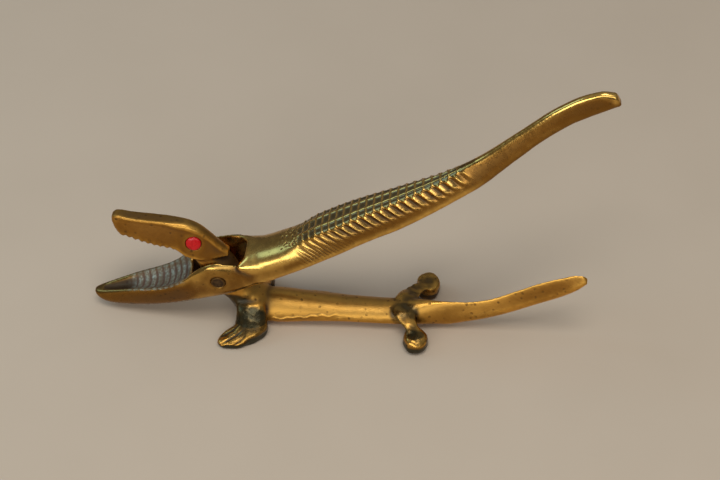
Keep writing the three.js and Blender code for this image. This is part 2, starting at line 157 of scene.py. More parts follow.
def back_place(points):
    x, y, z = np.moveaxis(np.asarray(points), -1, 0)
    raised_x = x * math.cos(open_angle) - z * math.sin(open_angle)
    raised_z = x * math.sin(open_angle) + z * math.cos(open_angle)
    return belly_place(stacked(raised_x, y, raised_z))


def belly_bench(points):
    return ((points - pivot) / MM).T


def back_bench(points):
    x, y, z = belly_bench(points)
    along = x * math.cos(open_angle) + z * math.sin(open_angle)
    height = -x * math.sin(open_angle) + z * math.cos(open_angle)
    return along, y, height


print("100 mm along the back is at", back_place((100, 0, 0)).round(4), "in the frame")

# %% [markdown]
# The camera looks from the animal's left, a little from the tail's side of square, and down at about 47
# degrees. A long lens keeps the perspective flat. It comes first, so that every later step can be judged
# from there.

# %% Camera
camera_place = Vector((0.04093, -0.38046, 0.45088))
camera_target = Vector((0.00764, 0.0, 0.04132))
lens_mm = 81.2


def facing(place, target):
    """The turn of a camera or a lamp that looks from one place to another."""
    return (Vector(target) - Vector(place)).to_track_quat("-Z", "Y").to_euler()


camera_data = bpy.data.cameras.new("camera")
camera_data.lens = lens_mm
camera = bpy.data.objects.new("camera", camera_data)
camera.location = camera_place
camera.rotation_euler = facing(camera_place, camera_target)
bpy.context.collection.objects.link(camera)
bpy.context.scene.camera = camera
print("camera stands off by", round((camera_target - camera_place).length, 3), "m")

# %% [markdown]
# The back lever is one casting. It could be sculpted freely, but outlines keep it true to the solid that it
# stands for. Seen from the side, its underside and its top line run from the chin to the square tail tip.
# Seen from above, it has a half width at the widest place of the flank and another at the crease, where the
# crown of the back begins.

# %% Outlines of the back lever
jaw_reach = 49.9
back_reach = 157.0
cheek_half = 8.1
shoulder_half = 8.8

underside = curve_through(
    (-jaw_reach, 5.4), (-47.4, 1.9), (-41.9, -1.1), (-26.9, -5.9), (-9, -8.2), (1, -9), (13, -7.9),
    (20, -7.2), (30, -6.4), (44, -4.9), (60, -3.1), (69, -2.6), (81.6, -0.8), (95, 1.7), (103, 3.4),
    (117.8, 8.9), (132, 13.8), (143, 15.8), (back_reach, 16),
)
top_line = curve_through(
    (-jaw_reach, 7.6), (-34.5, 5.7), (-20.5, 3.7), (-12, 5), (-4.7, 7.4), (0, 8.2), (5.6, 7.1), (11, 5.4),
    (22, 4.1), (27, 4.2), (35, 4.9), (42, 6.2), (48, 6.7), (60, 7.6), (72, 8.05), (84, 8.8), (90, 9.3),
    (96, 10.3), (107, 12.7), (123, 17.7), (139, 22.4), (147, 23.4), (153, 22.8), (back_reach, 20.4),
)
crown_rise = curve_through(
    (-jaw_reach, 0.3), (-4, 0.3), (14, 1), (27, 1.2), (35, 1), (48, 0.8), (60, 0.5), (back_reach, 0.4),
)
lower_half = curve_through(
    (-jaw_reach, 1.5), (-48.4, 2.9), (-42.6, 4.3), (-34.5, 5.4), (-26.5, 6.3), (-10, cheek_half - 0.3),
    (-4, cheek_half), (10.4, cheek_half), (16, shoulder_half), (30, shoulder_half - 0.1), (45, 8.3),
    (60, 7.7), (79, 6.8), (95, 5.6), (112, 4.3), (128, 3.4), (143, 2.5), (150, 2.0), (back_reach, 1.6),
)
upper_half = curve_through(
    (-jaw_reach, 0.9), (-48.4, 1.7), (-42.6, 3), (-34.5, 4.5), (-26.5, 5.8), (-10, cheek_half - 0.5),
    (0, cheek_half - 0.2), (9, cheek_half - 0.4), (14, cheek_half - 1.5), (22, 5.1), (27, 4.6), (35, 4.9),
    (42, 5.4), (48, 5.5), (60, 4.75), (72, 3.95), (84, 2.9), (96, 1.85), (104, 1.3), (123, 0.9), (143, 1.1),
    (back_reach, 1.1),
)
widest_share = curve_through((-jaw_reach, 0.42), (-30, 0.48), (-10, 0.4), (0, 0.3), (20, 0.25), (45, 0.14))
flank_bulge = curve_through(
    (-jaw_reach, 0.3), (0, 0.1), (10, 0.1), (24, 0.25), (45, 0.35), (back_reach, 0.3),
)


def back_heights(along):
    """The heights of the underside, the widest place of the flank, the crease and the top."""
    bottom = underside(along)
    top = top_line(along)
    crease = top - crown_rise(along)
    widest = bottom + widest_share(along) * (crease - bottom)
    return bottom, widest, crease, top


print("back lever:", jaw_reach + back_reach, "mm long and", 2 * shoulder_half, "mm wide at the shoulder")

# %% [markdown]
# Across, a section of the back has a round underside, a flank that leans in, a crease and a low crown. The
# cheeks on both sides of the slot are boxes instead: the left one is rounded over and the right one is flat
# on top. Behind them the back swells into a smooth arched shoulder, whose rounded nose stands proud of the
# cheeks. Cutting these shapes apart and bridging them by hand would leave seams. Here each is a half
# section with the same count of points, so soft borders can blend one into the next.

# %% Half sections of the back lever
shoulder_squareness = curve_through((10, 0.45), (13, 0.55), (18, 0.8))
left_cheek_squareness = curve_through((-8, 0.35), (1, 0.4), (5, 0.62), (8, 0.85))
right_cheek_squareness = curve_through((-8, 0.3), (-2, 0.17), (8, 0.17))
quarter_turn = np.linspace(0, math.pi / 2, 14)
flank_share = np.linspace(0, 1, 20)[1:-1]
arch_degrees = np.hstack([np.linspace(0, 55, 20)[1:-1], np.linspace(55, 90, 14)])


def creased_half(along):
    """Flank and crown of half a section, from the widest place to the top middle."""
    _, widest, crease, top = back_heights(along)
    lower = lower_half(along)
    upper = upper_half(along)
    bulge = flank_bulge(along) * 4 * flank_share * (1 - flank_share)
    flank_y = lower + (upper - lower) * flank_share + bulge
    flank_z = widest + (crease - widest) * flank_share
    crown_y = upper * np.cos(quarter_turn)
    crown_z = crease + (top - crease) * np.sin(quarter_turn)
    return np.stack([np.hstack([flank_y, crown_y]), np.hstack([flank_z, crown_z])])


def arched_half(along, half, squareness):
    """The same stretch of a section as one arch, which is boxier the nearer its squareness is to nought."""
    _, widest, _, top = back_heights(along)
    turn = np.radians(arch_degrees)
    y = half * np.maximum(np.cos(turn), 0) ** squareness
    z = widest + (top - widest) * np.sin(turn) ** squareness
    return np.stack([y, z])


print("a half section has", len(arch_degrees), "points from the widest place to the top")

# %% [markdown]
# A soft border is a number that climbs smoothly from nought to one. A plain test would tell two stretches
# apart as well, but it would leave a step in the metal or a line in its colour. The same three helpers
# serve shapes here and finishes later on.

# %% Soft borders


def smooth_step(value, low, high):
    t = np.clip((value - low) / (high - low), 0, 1)
    return t * t * (3 - 2 * t)


def smooth_fall(value, low, high):
    return 1 - smooth_step(value, low, high)


def band(value, low, high, fall_from, fall_to):
    """One from high to fall_from, nought before low and beyond fall_to, and smooth between."""
    return smooth_step(value, low, high) * smooth_fall(value, fall_from, fall_to)


print("a border that climbs from 0 to 10 mm, at 2 mm:", smooth_step(2, 0, 10))

# %% [markdown]
# The skin of the back lever has a section every half millimetre or so. From the chin to the tail they go
# from creased to cheek, from cheek to shoulder and back to creased. Where the shoulder begins depends on
# the way round its arch, and that bends its front edge into a nose. Low down the border is broad, so that
# the shoulder flows out of the underside without an edge.

# %% Skin of the back lever
cheek_begin = (-14, -6)
shoulder_front = 9.2
shoulder_end = (27, 39)
nose_degrees = 40
nose_bow = 0.005
nose_depth = 3.4
nose_border = 0.9
low_border = 6
underside_roundness = 0.75
section_spacing = 0.6


def upper_section(along, cheek_squareness):
    """Creased on the jaw and the back, a rounded box at the cheeks, and a proud arch at the shoulder."""
    creased = creased_half(along)
    cheek = arched_half(along, lower_half(along), cheek_squareness(along))
    proud = np.maximum(lower_half(along), shoulder_half - 0.1)
    shoulder = arched_half(along, proud, shoulder_squareness(along))
    front = shoulder_front + np.minimum(nose_bow * (arch_degrees - nose_degrees) ** 2, nose_depth)
    border = nose_border + low_border * smooth_fall(arch_degrees, 5, 35)
    begun = smooth_step((along - front) / border, 0, 1)
    on_cheek = smooth_step(along, *cheek_begin) * (1 - begun)
    on_shoulder = begun * smooth_fall(along, *shoulder_end)
    return creased + (cheek - creased) * on_cheek + (shoulder - creased) * on_shoulder


def back_rings(along):
    along = along[:, None]
    bottom, widest, _, _ = back_heights(along)
    under_y = lower_half(along) * np.sin(quarter_turn) ** underside_roundness
    under_z = widest - (widest - bottom) * np.maximum(np.cos(quarter_turn), 0) ** underside_roundness
    halves = []
    for squareness in (right_cheek_squareness, left_cheek_squareness):
        upper_y, upper_z = upper_section(along, squareness)
        halves.append((np.hstack([under_y, upper_y]), np.hstack([under_z, upper_z])))
    return back_place(stacked(along, *both_sides(*halves)))


back_along = np.append(np.arange(-jaw_reach, back_reach, section_spacing), back_reach)
back_piece = loft("back_casting", back_rings(back_along))
print("back lever:", len(back_piece.data.vertices), "points in", len(back_along), "sections")

# %% [markdown]
# The lower jaw is dished so that a nut can lie in it, and the rear of the dish has cross ridges that grip
# the shell. Pulling them out of the skin by hand would be slow and uneven, so the dish is a cutter: a skin
# over rings whose floor rises in each ridge.

# %% The tray of the lower jaw
slot_front = 11.5
chin_wall = 3.7
rim_wall = 1.1
rim_dip = 0.2
tray_depth = 3.4
tray_front = jaw_reach - chin_wall
tray_rear = slot_front - 2.5
bowl_steepness = 2.4
least_half = 0.5
cut_above = 6.0
cut_beyond = 0.5
ridge_height = 0.75
ridge_pitch = 2.5
ridge_bluntness = 0.45
ridges_from = tray_front - 11.2
ridges_to = slot_front + 1.5
tray_share = curve_through((-tray_front, 0.15), (-40, 0.56), (-28, 0.85), (-ridges_to, 1))


def wave(place, pitch):
    return 0.5 + 0.5 * np.cos(2 * math.pi * place / pitch)


def tray_rings(along):
    along = along[:, None]
    rim = top_line(along)
    half = np.maximum(least_half, upper_half(along) - rim_wall)
    ridged = band(along, -ridges_from, -ridges_from + ridge_pitch, -ridges_to - ridge_pitch, -ridges_to)
    ridge = ridge_height * ridged * wave(along, ridge_pitch) ** ridge_bluntness
    floor = rim - tray_depth * tray_share(along) + ridge
    share = np.linspace(0, 1, 16)
    bowl_z = floor + (rim - rim_dip - floor) * share ** bowl_steepness
    half_y = np.hstack([half * share, half + cut_beyond, 0 * half])
    half_z = np.hstack([bowl_z, rim + cut_above, rim + cut_above])
    return back_place(stacked(along, *both_sides((half_y, half_z))))


tray_along = np.arange(-tray_front, -tray_rear, ridge_pitch / 10)
tray_cutter = loft("tray_cutter", tray_rings(tray_along))
print("tray cutter:", len(tray_cutter.data.polygons), "faces")

# %% [markdown]
# The slot for the tongue goes right through between the cheeks, with round corners. Near the top its rear
# end slopes back and its right wall leans out, as every wall does that has to leave the sand. The rivet
# hole is drilled across. Both are cutters too: the slot a skin over three level rings, the hole a turned
# bar.

# %% The slot and the rivet hole
slot_half_width = 5.6
slot_rear = 12.6
slot_depth = 20.0
front_corner = 2.2
rear_corner = 4.2
lean_from = 3.2
rear_lean = 0.14
right_lean = 0.4
hole_radius = 2.55
hole_profile = [(hole_radius, -2 * cheek_half), (hole_radius, 2 * cheek_half)]


def slot_rings():
    turn = full_turn(64)
    rear_half = np.cos(turn) > 0
    corner = np.where(rear_half, rear_corner, front_corner)
    reach = np.where(rear_half, slot_rear, slot_front) - corner
    x = reach * np.sign(np.cos(turn)) + corner * np.cos(turn)
    y = (slot_half_width - corner) * np.sign(np.sin(turn)) + corner * np.sin(turn)
    rings = []
    for height in (-slot_depth, lean_from, slot_depth):
        above = max(height - lean_from, 0)
        leaned_x = x + rear_lean * above * rear_half
        leaned_y = y + right_lean * above * (y > 0)
        rings.append(stacked(leaned_x, leaned_y, height))
    return back_place(np.stack(rings))


def turned_rings(profile):
    """Rings about the rivet axis: profile holds pairs of radius and place along it."""
    turn = full_turn(64)
    rings = [stacked(radius * np.cos(turn), place, radius * np.sin(turn)) for radius, place in profile]
    return belly_place(np.stack(rings))


slot_cutter = loft("slot_cutter", slot_rings())
back_hole_cutter = loft("hole_cutter", turned_rings(hole_profile))
print("slot cutter:", len(slot_cutter.data.polygons), "faces")
print("hole cutter:", len(back_hole_cutter.data.polygons), "faces")

# %% [markdown]
# A sand casting has no sharp edge: the sand rounds every corner and fills every inner one with a fillet. A
# bevel often breaks on the ragged edges that booleans leave. So a voxel remesh of the cut shape gives an
# even skin first, and relaxing then turns its corners into fillets. Every modifier is settled into a plain
# mesh at once, because the next step reads the points.

# %% Cutting and remeshing


def settled(piece):
    """Applies the piece's modifiers to a plain mesh."""
    graph = bpy.context.evaluated_depsgraph_get()
    mesh = bpy.data.meshes.new_from_object(
        piece.evaluated_get(graph), preserve_all_data_layers=True, depsgraph=graph
    )
    piece.modifiers.clear()
    old = piece.data
    piece.data = mesh
    bpy.data.meshes.remove(old)
    mesh.name = piece.name


def cut(piece, cutters):
    for cutter in cutters:
        modifier = piece.modifiers.new(cutter.name, "BOOLEAN")
        modifier.operation = "DIFFERENCE"
        modifier.solver = "EXACT"
        modifier.object = cutter
    settled(piece)
    for cutter in cutters:
        bpy.data.objects.remove(cutter)


def remesh(piece, voxel_mm):
    modifier = piece.modifiers.new("sand_skin", "REMESH")
    modifier.mode = "VOXEL"
    modifier.voxel_size = voxel_mm * MM
    modifier.use_smooth_shade = True
    settled(piece)


# %% [markdown]
# Relaxing draws each point towards the middle of its neighbours, and more rounds make softer corners. A
# smooth modifier does the same, but with numpy every point has a share of its own, so one stretch can stay
# crisp while the next turns soft.

# %% Relaxing


def vectors_of(items, key):
    numbers = np.empty(3 * len(items), np.float32)
    items.foreach_get(key, numbers)
    return numbers.reshape(-1, 3).astype(float)


def points_of(piece):
    return vectors_of(piece.data.vertices, "co")


def set_points(piece, points):
    piece.data.vertices.foreach_set("co", points.astype(np.float32).ravel())
    piece.data.update()


def relaxed(piece, points, rounds, share=0.5):
    """Points after rounds of averaging with their neighbours. share may differ from point to point."""
    ends = np.empty(2 * len(piece.data.edges), np.int32)
    piece.data.edges.foreach_get("vertices", ends)
    a, b = ends.reshape(-1, 2).T
    size = len(points)
    neighbours = np.maximum(np.bincount(ends, minlength=size), 1)[:, None]
    share = np.broadcast_to(share, size)[:, None]
    for _ in range(rounds):
        columns = [np.bincount(a, p[b], size) + np.bincount(b, p[a], size) for p in points.T]
        points = points + share * (np.stack(columns, 1) / neighbours - points)
    return points


# %% [markdown]
# The back casting is cut, remeshed and relaxed in that order. Its voxel is small enough for the ridges of
# the tray and keeps the piece under two hundred thousand triangles. The rear rim of the slot is rounder
# than any other edge, so its points get more rounds.

# %% One back casting
back_voxel = 0.445
soft_rounds = 3
rim_from = 9.0
rim_to = 16.0
rim_reach = 1.5
rim_deep = 3.5
rim_rounds = 14

cut(back_piece, [tray_cutter, slot_cutter, back_hole_cutter])
remesh(back_piece, back_voxel)
points = relaxed(back_piece, points_of(back_piece), soft_rounds)
along, y, height = back_bench(points)
by_rim = (along > rim_from) & (along < rim_to) & (np.abs(y) < slot_half_width + rim_reach)
round_rim = by_rim & (height > top_line(along) - rim_deep)
set_points(back_piece, relaxed(back_piece, points, rim_rounds, 0.5 * round_rim))
print("back lever after the remesh:", len(back_piece.data.polygons), "faces")

# %% [markdown]
# The scales are finer than the rest of the casting. A finer voxel would fill the smooth tail with points
# that show nothing, so the skin is refined only where the scales go. Splitting the edges of that stretch
# once halves its spacing, and the border faces are split to match, so the skin stays closed.

# %% Refine the skin where the scales go
ribs_from = 31.0
ribs_to = 103.0
refined_flank = 0.8
refined_rounds = 2


def refine(piece, wanted):
    skin = bmesh.new()
    skin.from_mesh(piece.data)
    skin.edges.ensure_lookup_table()
    edges = [edge for edge in skin.edges if wanted[edge.verts[0].index] and wanted[edge.verts[1].index]]
    bmesh.ops.subdivide_edges(skin, edges=edges, cuts=1, use_grid_fill=True)
    skin.to_mesh(piece.data)
    skin.free()


def scale_place(points):
    """Where points lie on the back: along it, below its crease, down the flank from 0 to 1, and across."""
    along, y, height = back_bench(points)
    _, widest, crease, _ = back_heights(along)
    drop = crease - height
    flank = drop / np.maximum(crease - widest, 0.5)
    across = y / upper_half(along)
    return along, drop, flank, across


along, _, flank, _ = scale_place(points_of(back_piece))
refine(back_piece, (along > ribs_from - 5) & (along < ribs_to + 2) & (flank < refined_flank))
set_points(back_piece, relaxed(back_piece, points_of(back_piece), refined_rounds))
print("back lever after refining:", len(back_piece.data.polygons), "faces")

# %% [markdown]
# Finishes and carving both need maths on sockets, which is easier to read as Python than as a web of boxes.
# This small class wraps the output of a node, and each sum or product adds one Math node. The same class
# serves geometry trees and materials.

# %% A wire that does sums


class Wire:
    def __init__(self, tree, socket):
        self.tree = tree
        self.socket = socket

    @classmethod
    def node(cls, tree, kind, settings=None, sockets=None, output=0):
        made = tree.nodes.new(kind)
        for name, value in (settings or {}).items():
            setattr(made, name, value)
        for key, value in (sockets or {}).items():
            if isinstance(value, Wire):
                tree.links.new(value.socket, made.inputs[key])
            else:
                made.inputs[key].default_value = value
        return cls(tree, made.outputs[output])

    def math(self, operation, *values):
        return Wire.node(self.tree, "ShaderNodeMath", {"operation": operation}, dict(enumerate(values)))

    def __add__(self, other):
        return self.math("ADD", self, other)

    def __radd__(self, other):
        return self.math("ADD", other, self)

    def __sub__(self, other):
        return self.math("SUBTRACT", self, other)

    def __rsub__(self, other):
        return self.math("SUBTRACT", other, self)

    def __mul__(self, other):
        return self.math("MULTIPLY", self, other)

    def __rmul__(self, other):
        return self.math("MULTIPLY", other, self)

    def __truediv__(self, other):
        return self.math("DIVIDE", self, other)

    def __rtruediv__(self, other):
        return self.math("DIVIDE", other, self)

    def __pow__(self, other):
        return self.math("POWER", self, other)

    def __abs__(self):
        return self.math("ABSOLUTE", self)

    def at_least(self, least):
        return self.math("MAXIMUM", self, least)

    def at_most(self, most):
        return self.math("MINIMUM", self, most)

    def fraction(self):
        return self.math("FRACT", self)

    def step(self, low, high):
        """Nought at low, one at high, and smooth between them. low may be the larger."""
        sockets = {"Value": self, "From Min": low, "From Max": high}
        return Wire.node(self.tree, "ShaderNodeMapRange", {"interpolation_type": "SMOOTHSTEP"}, sockets)


# %% [markdown]
# A finish is a web of noise, colours and numbers. Each of these helpers adds one or two nodes: a new
# material, the place of a point, noise, specks, a mix of two colours, or a relief. With them a finish reads
# line by line, like a recipe.

# %% Helpers for finishes


def new_material(name):
    material = bpy.data.materials.new(name)
    material.use_nodes = True
    tree = material.node_tree
    return material, tree, tree.nodes["Principled BSDF"]


def attach(tree, shader, sockets):
    for key, value in sockets.items():
        tree.links.new(value.socket, shader.inputs[key])


def coordinate(tree, output="Object"):
    return Wire.node(tree, "ShaderNodeTexCoord", output=output)


def up_part(tree, direction):
    return Wire.node(tree, "ShaderNodeSeparateXYZ", None, {0: direction}, "Z")


def mixed(factor, first, second):
    """A colour between two colours, each a wire or a plain tuple."""
    sockets = {"Factor": factor, 6: first, 7: second}
    return Wire.node(factor.tree, "ShaderNodeMix", {"data_type": "RGBA"}, sockets, 2)


def noise(place, per_mm, detail=3.0, roughness=0.55):
    sockets = {"Vector": place, "Scale": per_mm / MM, "Detail": detail, "Roughness": roughness}
    return Wire.node(place.tree, "ShaderNodeTexNoise", None, sockets)


def specks(place, per_mm):
    return Wire.node(place.tree, "ShaderNodeTexVoronoi", None, {"Vector": place, "Scale": per_mm / MM})


def relief_of(height, strength, depth_mm):
    sockets = {"Strength": strength, "Distance": depth_mm * MM, "Height": height}
    return Wire.node(height.tree, "ShaderNodeBump", None, sockets)


# %% [markdown]
# Old brass is brown rather than yellow. Bare metal shows where hands rub it, the rest has a brown skin,
# faces that look up turn olive as painted shade, hollows hold dark wax and dirt, and a crust of verdigris
# grows where it stays damp. Painted shade is laid by place as well, and bare brass in a few places is
# painted light. One function makes that for both castings, layer over layer. The belly is a rougher, more
# pitted and more copper coloured casting with a darker stain, so colours, roughness and relief are its
# arguments. A painted picture could carry all this too, but noise has no seams and stays sharp from close
# by. What depends on the shape is read from numbers on the points: wear, grime with painted shade, handling
# with painted light, stain, verdigris and bars.

# %% Aged brass


def crust_colour(place, bar, mottle):
    """Reddish between the ridges of the tray, grey green on them, and pale where it is thickest."""
    copper_rust = (0.13, 0.065, 0.035, 1)
    verdigris = (0.27, 0.28, 0.20, 1)
    thick_verdigris = (0.40, 0.40, 0.31, 1)
    crumbs = noise(place, 1.1, 4.0, 0.65).step(0.38, 0.66)
    crust = mixed(bar * (0.35 + 0.65 * crumbs), copper_rust, verdigris)
    return mixed(bar * crumbs * mottle, crust, thick_verdigris)


def brass(name, bare, brown, dark, top_shade, stained, rough, pitted, relief):
    material, tree, shader = new_material(name)
    place = coordinate(tree)
    up = up_part(tree, coordinate(tree, "Normal"))
    worn, grime, handled, stain, green, bar = (
        Wire.node(tree, "ShaderNodeAttribute", {"attribute_name": about}, output="Fac")
        for about in ("worn", "grime", "handled", "stain", "verdigris", "bar")
    )
    clouds = noise(place, 0.07).step(0.36, 0.64)
    mottle = noise(place, 0.5, 4.0).step(0.36, 0.68)
    grain = noise(place, 2.6)
    pits = specks(place, 0.42).step(0.3, 0.14) * mottle * pitted

    skin = mixed(handled * (0.55 + 0.35 * clouds + 0.1 * mottle), brown, bare)
    # Faces that look up turn olive here: a painted shade for the dim sky that they mirror.
    skin = mixed(up.step(0.35, 0.95) * (0.4 + 0.35 * clouds), skin, top_shade)
    skin = mixed(worn * (0.7 + 0.3 * mottle), skin, bare)
    skin = mixed((grime * 0.9 + pits).at_most(1.0), skin, dark)
    skin = mixed(stain * (0.94 + 0.06 * mottle) * (1 - 0.15 * worn), skin, stained)
    skin = mixed(green * (0.7 + 0.25 * mottle), skin, crust_colour(place, bar, mottle))

    dulled = 0.07 * mottle + 0.20 * grime + 0.14 * pits + 0.18 * green
    roughness = rough + dulled - 0.1 * worn + 0.03 * handled - 0.45 * rough * stain
    metallic = 1 - 0.35 * grime - 0.45 * green - 0.15 * stain
    bump = relief_of(0.5 * grain + 0.35 * mottle - 1.4 * pits, relief, 0.1)
    attach(tree, shader, {"Base Color": skin, "Roughness": roughness, "Metallic": metallic, "Normal": bump})
    return material


back_brass = brass(
    "back_brass", bare=(0.74, 0.44, 0.105, 1), brown=(0.19, 0.079, 0.013, 1), dark=(0.05, 0.026, 0.010, 1),
    top_shade=(0.18, 0.125, 0.042, 1), stained=(0.15, 0.108, 0.045, 1), rough=0.22, pitted=0.45, relief=0.16,
)
belly_brass = brass(
    "belly_brass", bare=(0.76, 0.39, 0.07, 1), brown=(0.225, 0.092, 0.015, 1), dark=(0.07, 0.032, 0.012, 1),
    top_shade=(0.24, 0.145, 0.042, 1), stained=(0.032, 0.027, 0.011, 1), rough=0.40, pitted=0.8, relief=0.6,
)
print("finishes:", back_brass.name, belly_brass.name)

# %% [markdown]
# The carving follows rules, so geometry trees make it. A displace modifier with a picture could move the
# points as well, but a tree can count plates and take each size as a named input. Every tree here is built
# alike: it takes a casting, sizes and a finish, moves each point along its normal, realizes the result and
# sets the finish. An input of the modifier is set by the identifier of its socket, before the tree first
# runs.

# %% Helpers for geometry trees


def new_geometry_tree(name, sizes):
    tree = bpy.data.node_groups.new(name, "GeometryNodeTree")
    tree.interface.new_socket("Casting", in_out="INPUT", socket_type="NodeSocketGeometry")
    for size in sizes:
        tree.interface.new_socket(size, in_out="INPUT", socket_type="NodeSocketFloat")
    tree.interface.new_socket("Finish", in_out="INPUT", socket_type="NodeSocketMaterial")
    tree.interface.new_socket("Carved", in_out="OUTPUT", socket_type="NodeSocketGeometry")
    entry = tree.nodes.new("NodeGroupInput")
    return tree, {socket.name: Wire(tree, socket) for socket in entry.outputs if socket.name}


def end_tree(tree, wires, height_mm):
    """Moves each point along its normal, then realizes and sets the finish."""
    normal = Wire.node(tree, "GeometryNodeInputNormal")
    settings = {"operation": "SCALE"}
    offset = Wire.node(tree, "ShaderNodeVectorMath", settings, {0: normal, "Scale": height_mm * MM})
    places = {"Geometry": wires["Casting"], "Offset": offset}
    moved = Wire.node(tree, "GeometryNodeSetPosition", None, places)
    whole = Wire.node(tree, "GeometryNodeRealizeInstances", None, {0: moved})
    finished = Wire.node(tree, "GeometryNodeSetMaterial", None, {0: whole, "Material": wires["Finish"]})
    leave = tree.nodes.new("NodeGroupOutput")
    tree.links.new(finished.socket, leave.inputs[0])


def run_tree(piece, tree, values):
    modifier = piece.modifiers.new(tree.name, "NODES")
    modifier.node_group = tree
    for item in tree.interface.items_tree:
        if item.in_out == "INPUT" and item.name in values:
            modifier[item.identifier] = values[item.name]
    settled(piece)


def named(tree, name):
    return Wire.node(tree, "GeometryNodeInputNamedAttribute", {"data_type": "FLOAT"}, {"Name": name})


# %% [markdown]
# The back of the animal is carved, not cast smooth. Two keels run along the crown, raised borders cross it
# and part it into plates, and each plate runs on down the flank as a slanted rib. The plates grow a little
# longer towards the tail, each by the same share, so a logarithm counts them. The tree needs to know where
# each point lies on the back, and four numbers say that. A fifth, stain, marks the floors of the plates,
# which stay dark. The lines between them, keels and borders, are rubbed golden by hands, and a later cell
# makes them so.

# %% Where the scales go
keel_place = 0.4
plate_begin = 6
least_growth = 0.05
scale_sizes = {
    "Ribs from": ribs_from, "Ribs to": ribs_to, "Rib pitch": 2.7, "Pitch growth": 0.0105, "Rib lean": 0.7,
    "Rib height": 0.9, "Hatch depth": 0.14, "Keel place": keel_place, "Keel width": 0.1, "Keel height": 0.4,
    "Border height": 0.26, "Pit depth": 0.3,
}


def add_floats(piece, **columns):
    for name, values in columns.items():
        attribute = piece.data.attributes.new(name, "FLOAT", "POINT")
        attribute.data.foreach_set("value", np.asarray(values, np.float32))


def plate_shares(along, drop):
    """How far along its plate each point lies, from 0 to 1."""
    growth = scale_sizes["Pitch growth"]
    leaned = along - scale_sizes["Rib lean"] * np.maximum(drop, 0) - ribs_from
    grown = np.maximum(1 + growth * leaned / scale_sizes["Rib pitch"], least_growth)
    return np.log(grown) / growth % 1


along, drop, flank, across = scale_place(points_of(back_piece))
add_floats(back_piece, along=along, drop=drop, flank=flank, across=across)
on_plates = band(along, ribs_from, ribs_from + plate_begin, ribs_to - 8, ribs_to)
on_crown = smooth_fall(np.abs(across), 0.86, 1.0) * smooth_fall(flank, -0.02, 0.06)
off_keel = smooth_step(np.abs(np.abs(across) - keel_place), 0.05, 0.14)
off_border = smooth_step(1 - np.abs(2 * plate_shares(along, drop) - 1), 0.14, 0.4)
lines = on_plates * on_crown * (1 - off_keel * off_border)
add_floats(back_piece, stain=on_plates * on_crown * off_keel * off_border)
print("points on keels and borders:", int((lines > 0.5).sum()))

# %% [markdown]
# The ribs are short and faint at the front and grow longer and bolder towards the tail. At the front the
# flank is hatched with fine cuts instead, twice as many as there are ribs, and small pits roughen the crown
# before the first plates. Sculpting more than twenty plates by hand would take a day, and no size could be
# changed afterwards.

# %% Carve the scales
plate_end = 11


def plate_count(size, along, drop):
    """How many plates there are from the first one to each point."""
    leaned = along - size["Rib lean"] * drop.at_least(0.0) - size["Ribs from"]
    grown = (1 + size["Pitch growth"] * leaned / size["Rib pitch"]).at_least(least_growth)
    return grown.math("LOGARITHM", grown, math.e) / size["Pitch growth"]


def rib_height(size, along, flank, crest):
    """Ribs on the flank, which grow bolder and reach further down towards the tail."""
    start = size["Ribs from"]
    grown_up = along.step(start + 4, start + 28)
    bold = 0.35 + 0.65 * grown_up
    reach = 0.5 + 0.18 * grown_up
    on_flank = flank.step(-0.02, 0.12) * flank.step(reach, reach - 0.36)
    return size["Rib height"] * bold * (crest ** 1.5 - 0.3) * on_flank


def hatch_depth(size, along, flank, count):
    """Fine cuts on the front of the flank, two to a plate."""
    start = size["Ribs from"]
    scratch = abs(2 * (2 * count).fraction() - 1).step(0.55, 0.95)
    scratched = flank.step(0.0, 0.2) * flank.step(1.0, 0.8) * along.step(start + 26, start + 10)
    return size["Hatch depth"] * scratch * scratched


def crown_height(size, across, flank, share, crest):
    """Two keels along the crown, and raised borders across it that end at the keels."""
    from_keel = (across - size["Keel place"]) / size["Keel width"]
    near_keel = 1 / (1 + from_keel ** 2.0 * from_keel ** 2.0)
    keel = size["Keel height"] * (0.75 + 0.25 * share) * near_keel
    border = size["Border height"] * crest.step(0.36, 0.04) * (1 - near_keel)
    on_crown = across.step(1.0, 0.93) * flank.step(0.05, -0.02)
    return (keel + border) * on_crown


def pit_depth(size, along, across, flank):
    """Small pits on the crown before the first plates."""
    start = size["Ribs from"]
    place = Wire.node(along.tree, "GeometryNodeInputPosition")
    speckle = Wire.node(along.tree, "ShaderNodeTexNoise", None, {"Vector": place, "Scale": 0.8 / MM})
    spots = speckle.step(0.52, 0.66)
    before_plates = along.step(start - 6, start - 3) * along.step(start + 6, start + 1)
    return size["Pit depth"] * spots * before_plates * across.step(1.1, 0.9) * flank.step(0.08, 0.0)


def scale_tree(sizes):
    tree, size = new_geometry_tree("scale_carving", sizes)
    along = named(tree, "along")
    flank = named(tree, "flank")
    across = abs(named(tree, "across"))
    count = plate_count(size, along, named(tree, "drop"))
    share = count.fraction()
    crest = 1 - abs(2 * share - 1)
    ribs = rib_height(size, along, flank, crest)
    hatch = hatch_depth(size, along, flank, count)
    crown = crown_height(size, across, flank, share, crest)
    pits = pit_depth(size, along, across, flank)
    begun = along.step(size["Ribs from"], size["Ribs from"] + plate_begin)
    on_back = begun * along.step(size["Ribs to"], size["Ribs to"] - plate_end)
    end_tree(tree, size, (ribs - hatch + crown) * on_back - pits)
    return tree


run_tree(back_piece, scale_tree(scale_sizes), {**scale_sizes, "Finish": back_brass})
print("carved back:", len(back_piece.data.polygons), "faces")

# %% [markdown]
# The tray has had nuts in it for years. Its ridged floor is crusted with grey green verdigris, and reddish
# between the ridges. A painter would mask it by hand. Here the place of a point says whether it lies in the
# tray, and the wave of the ridges says whether it lies on a bar.

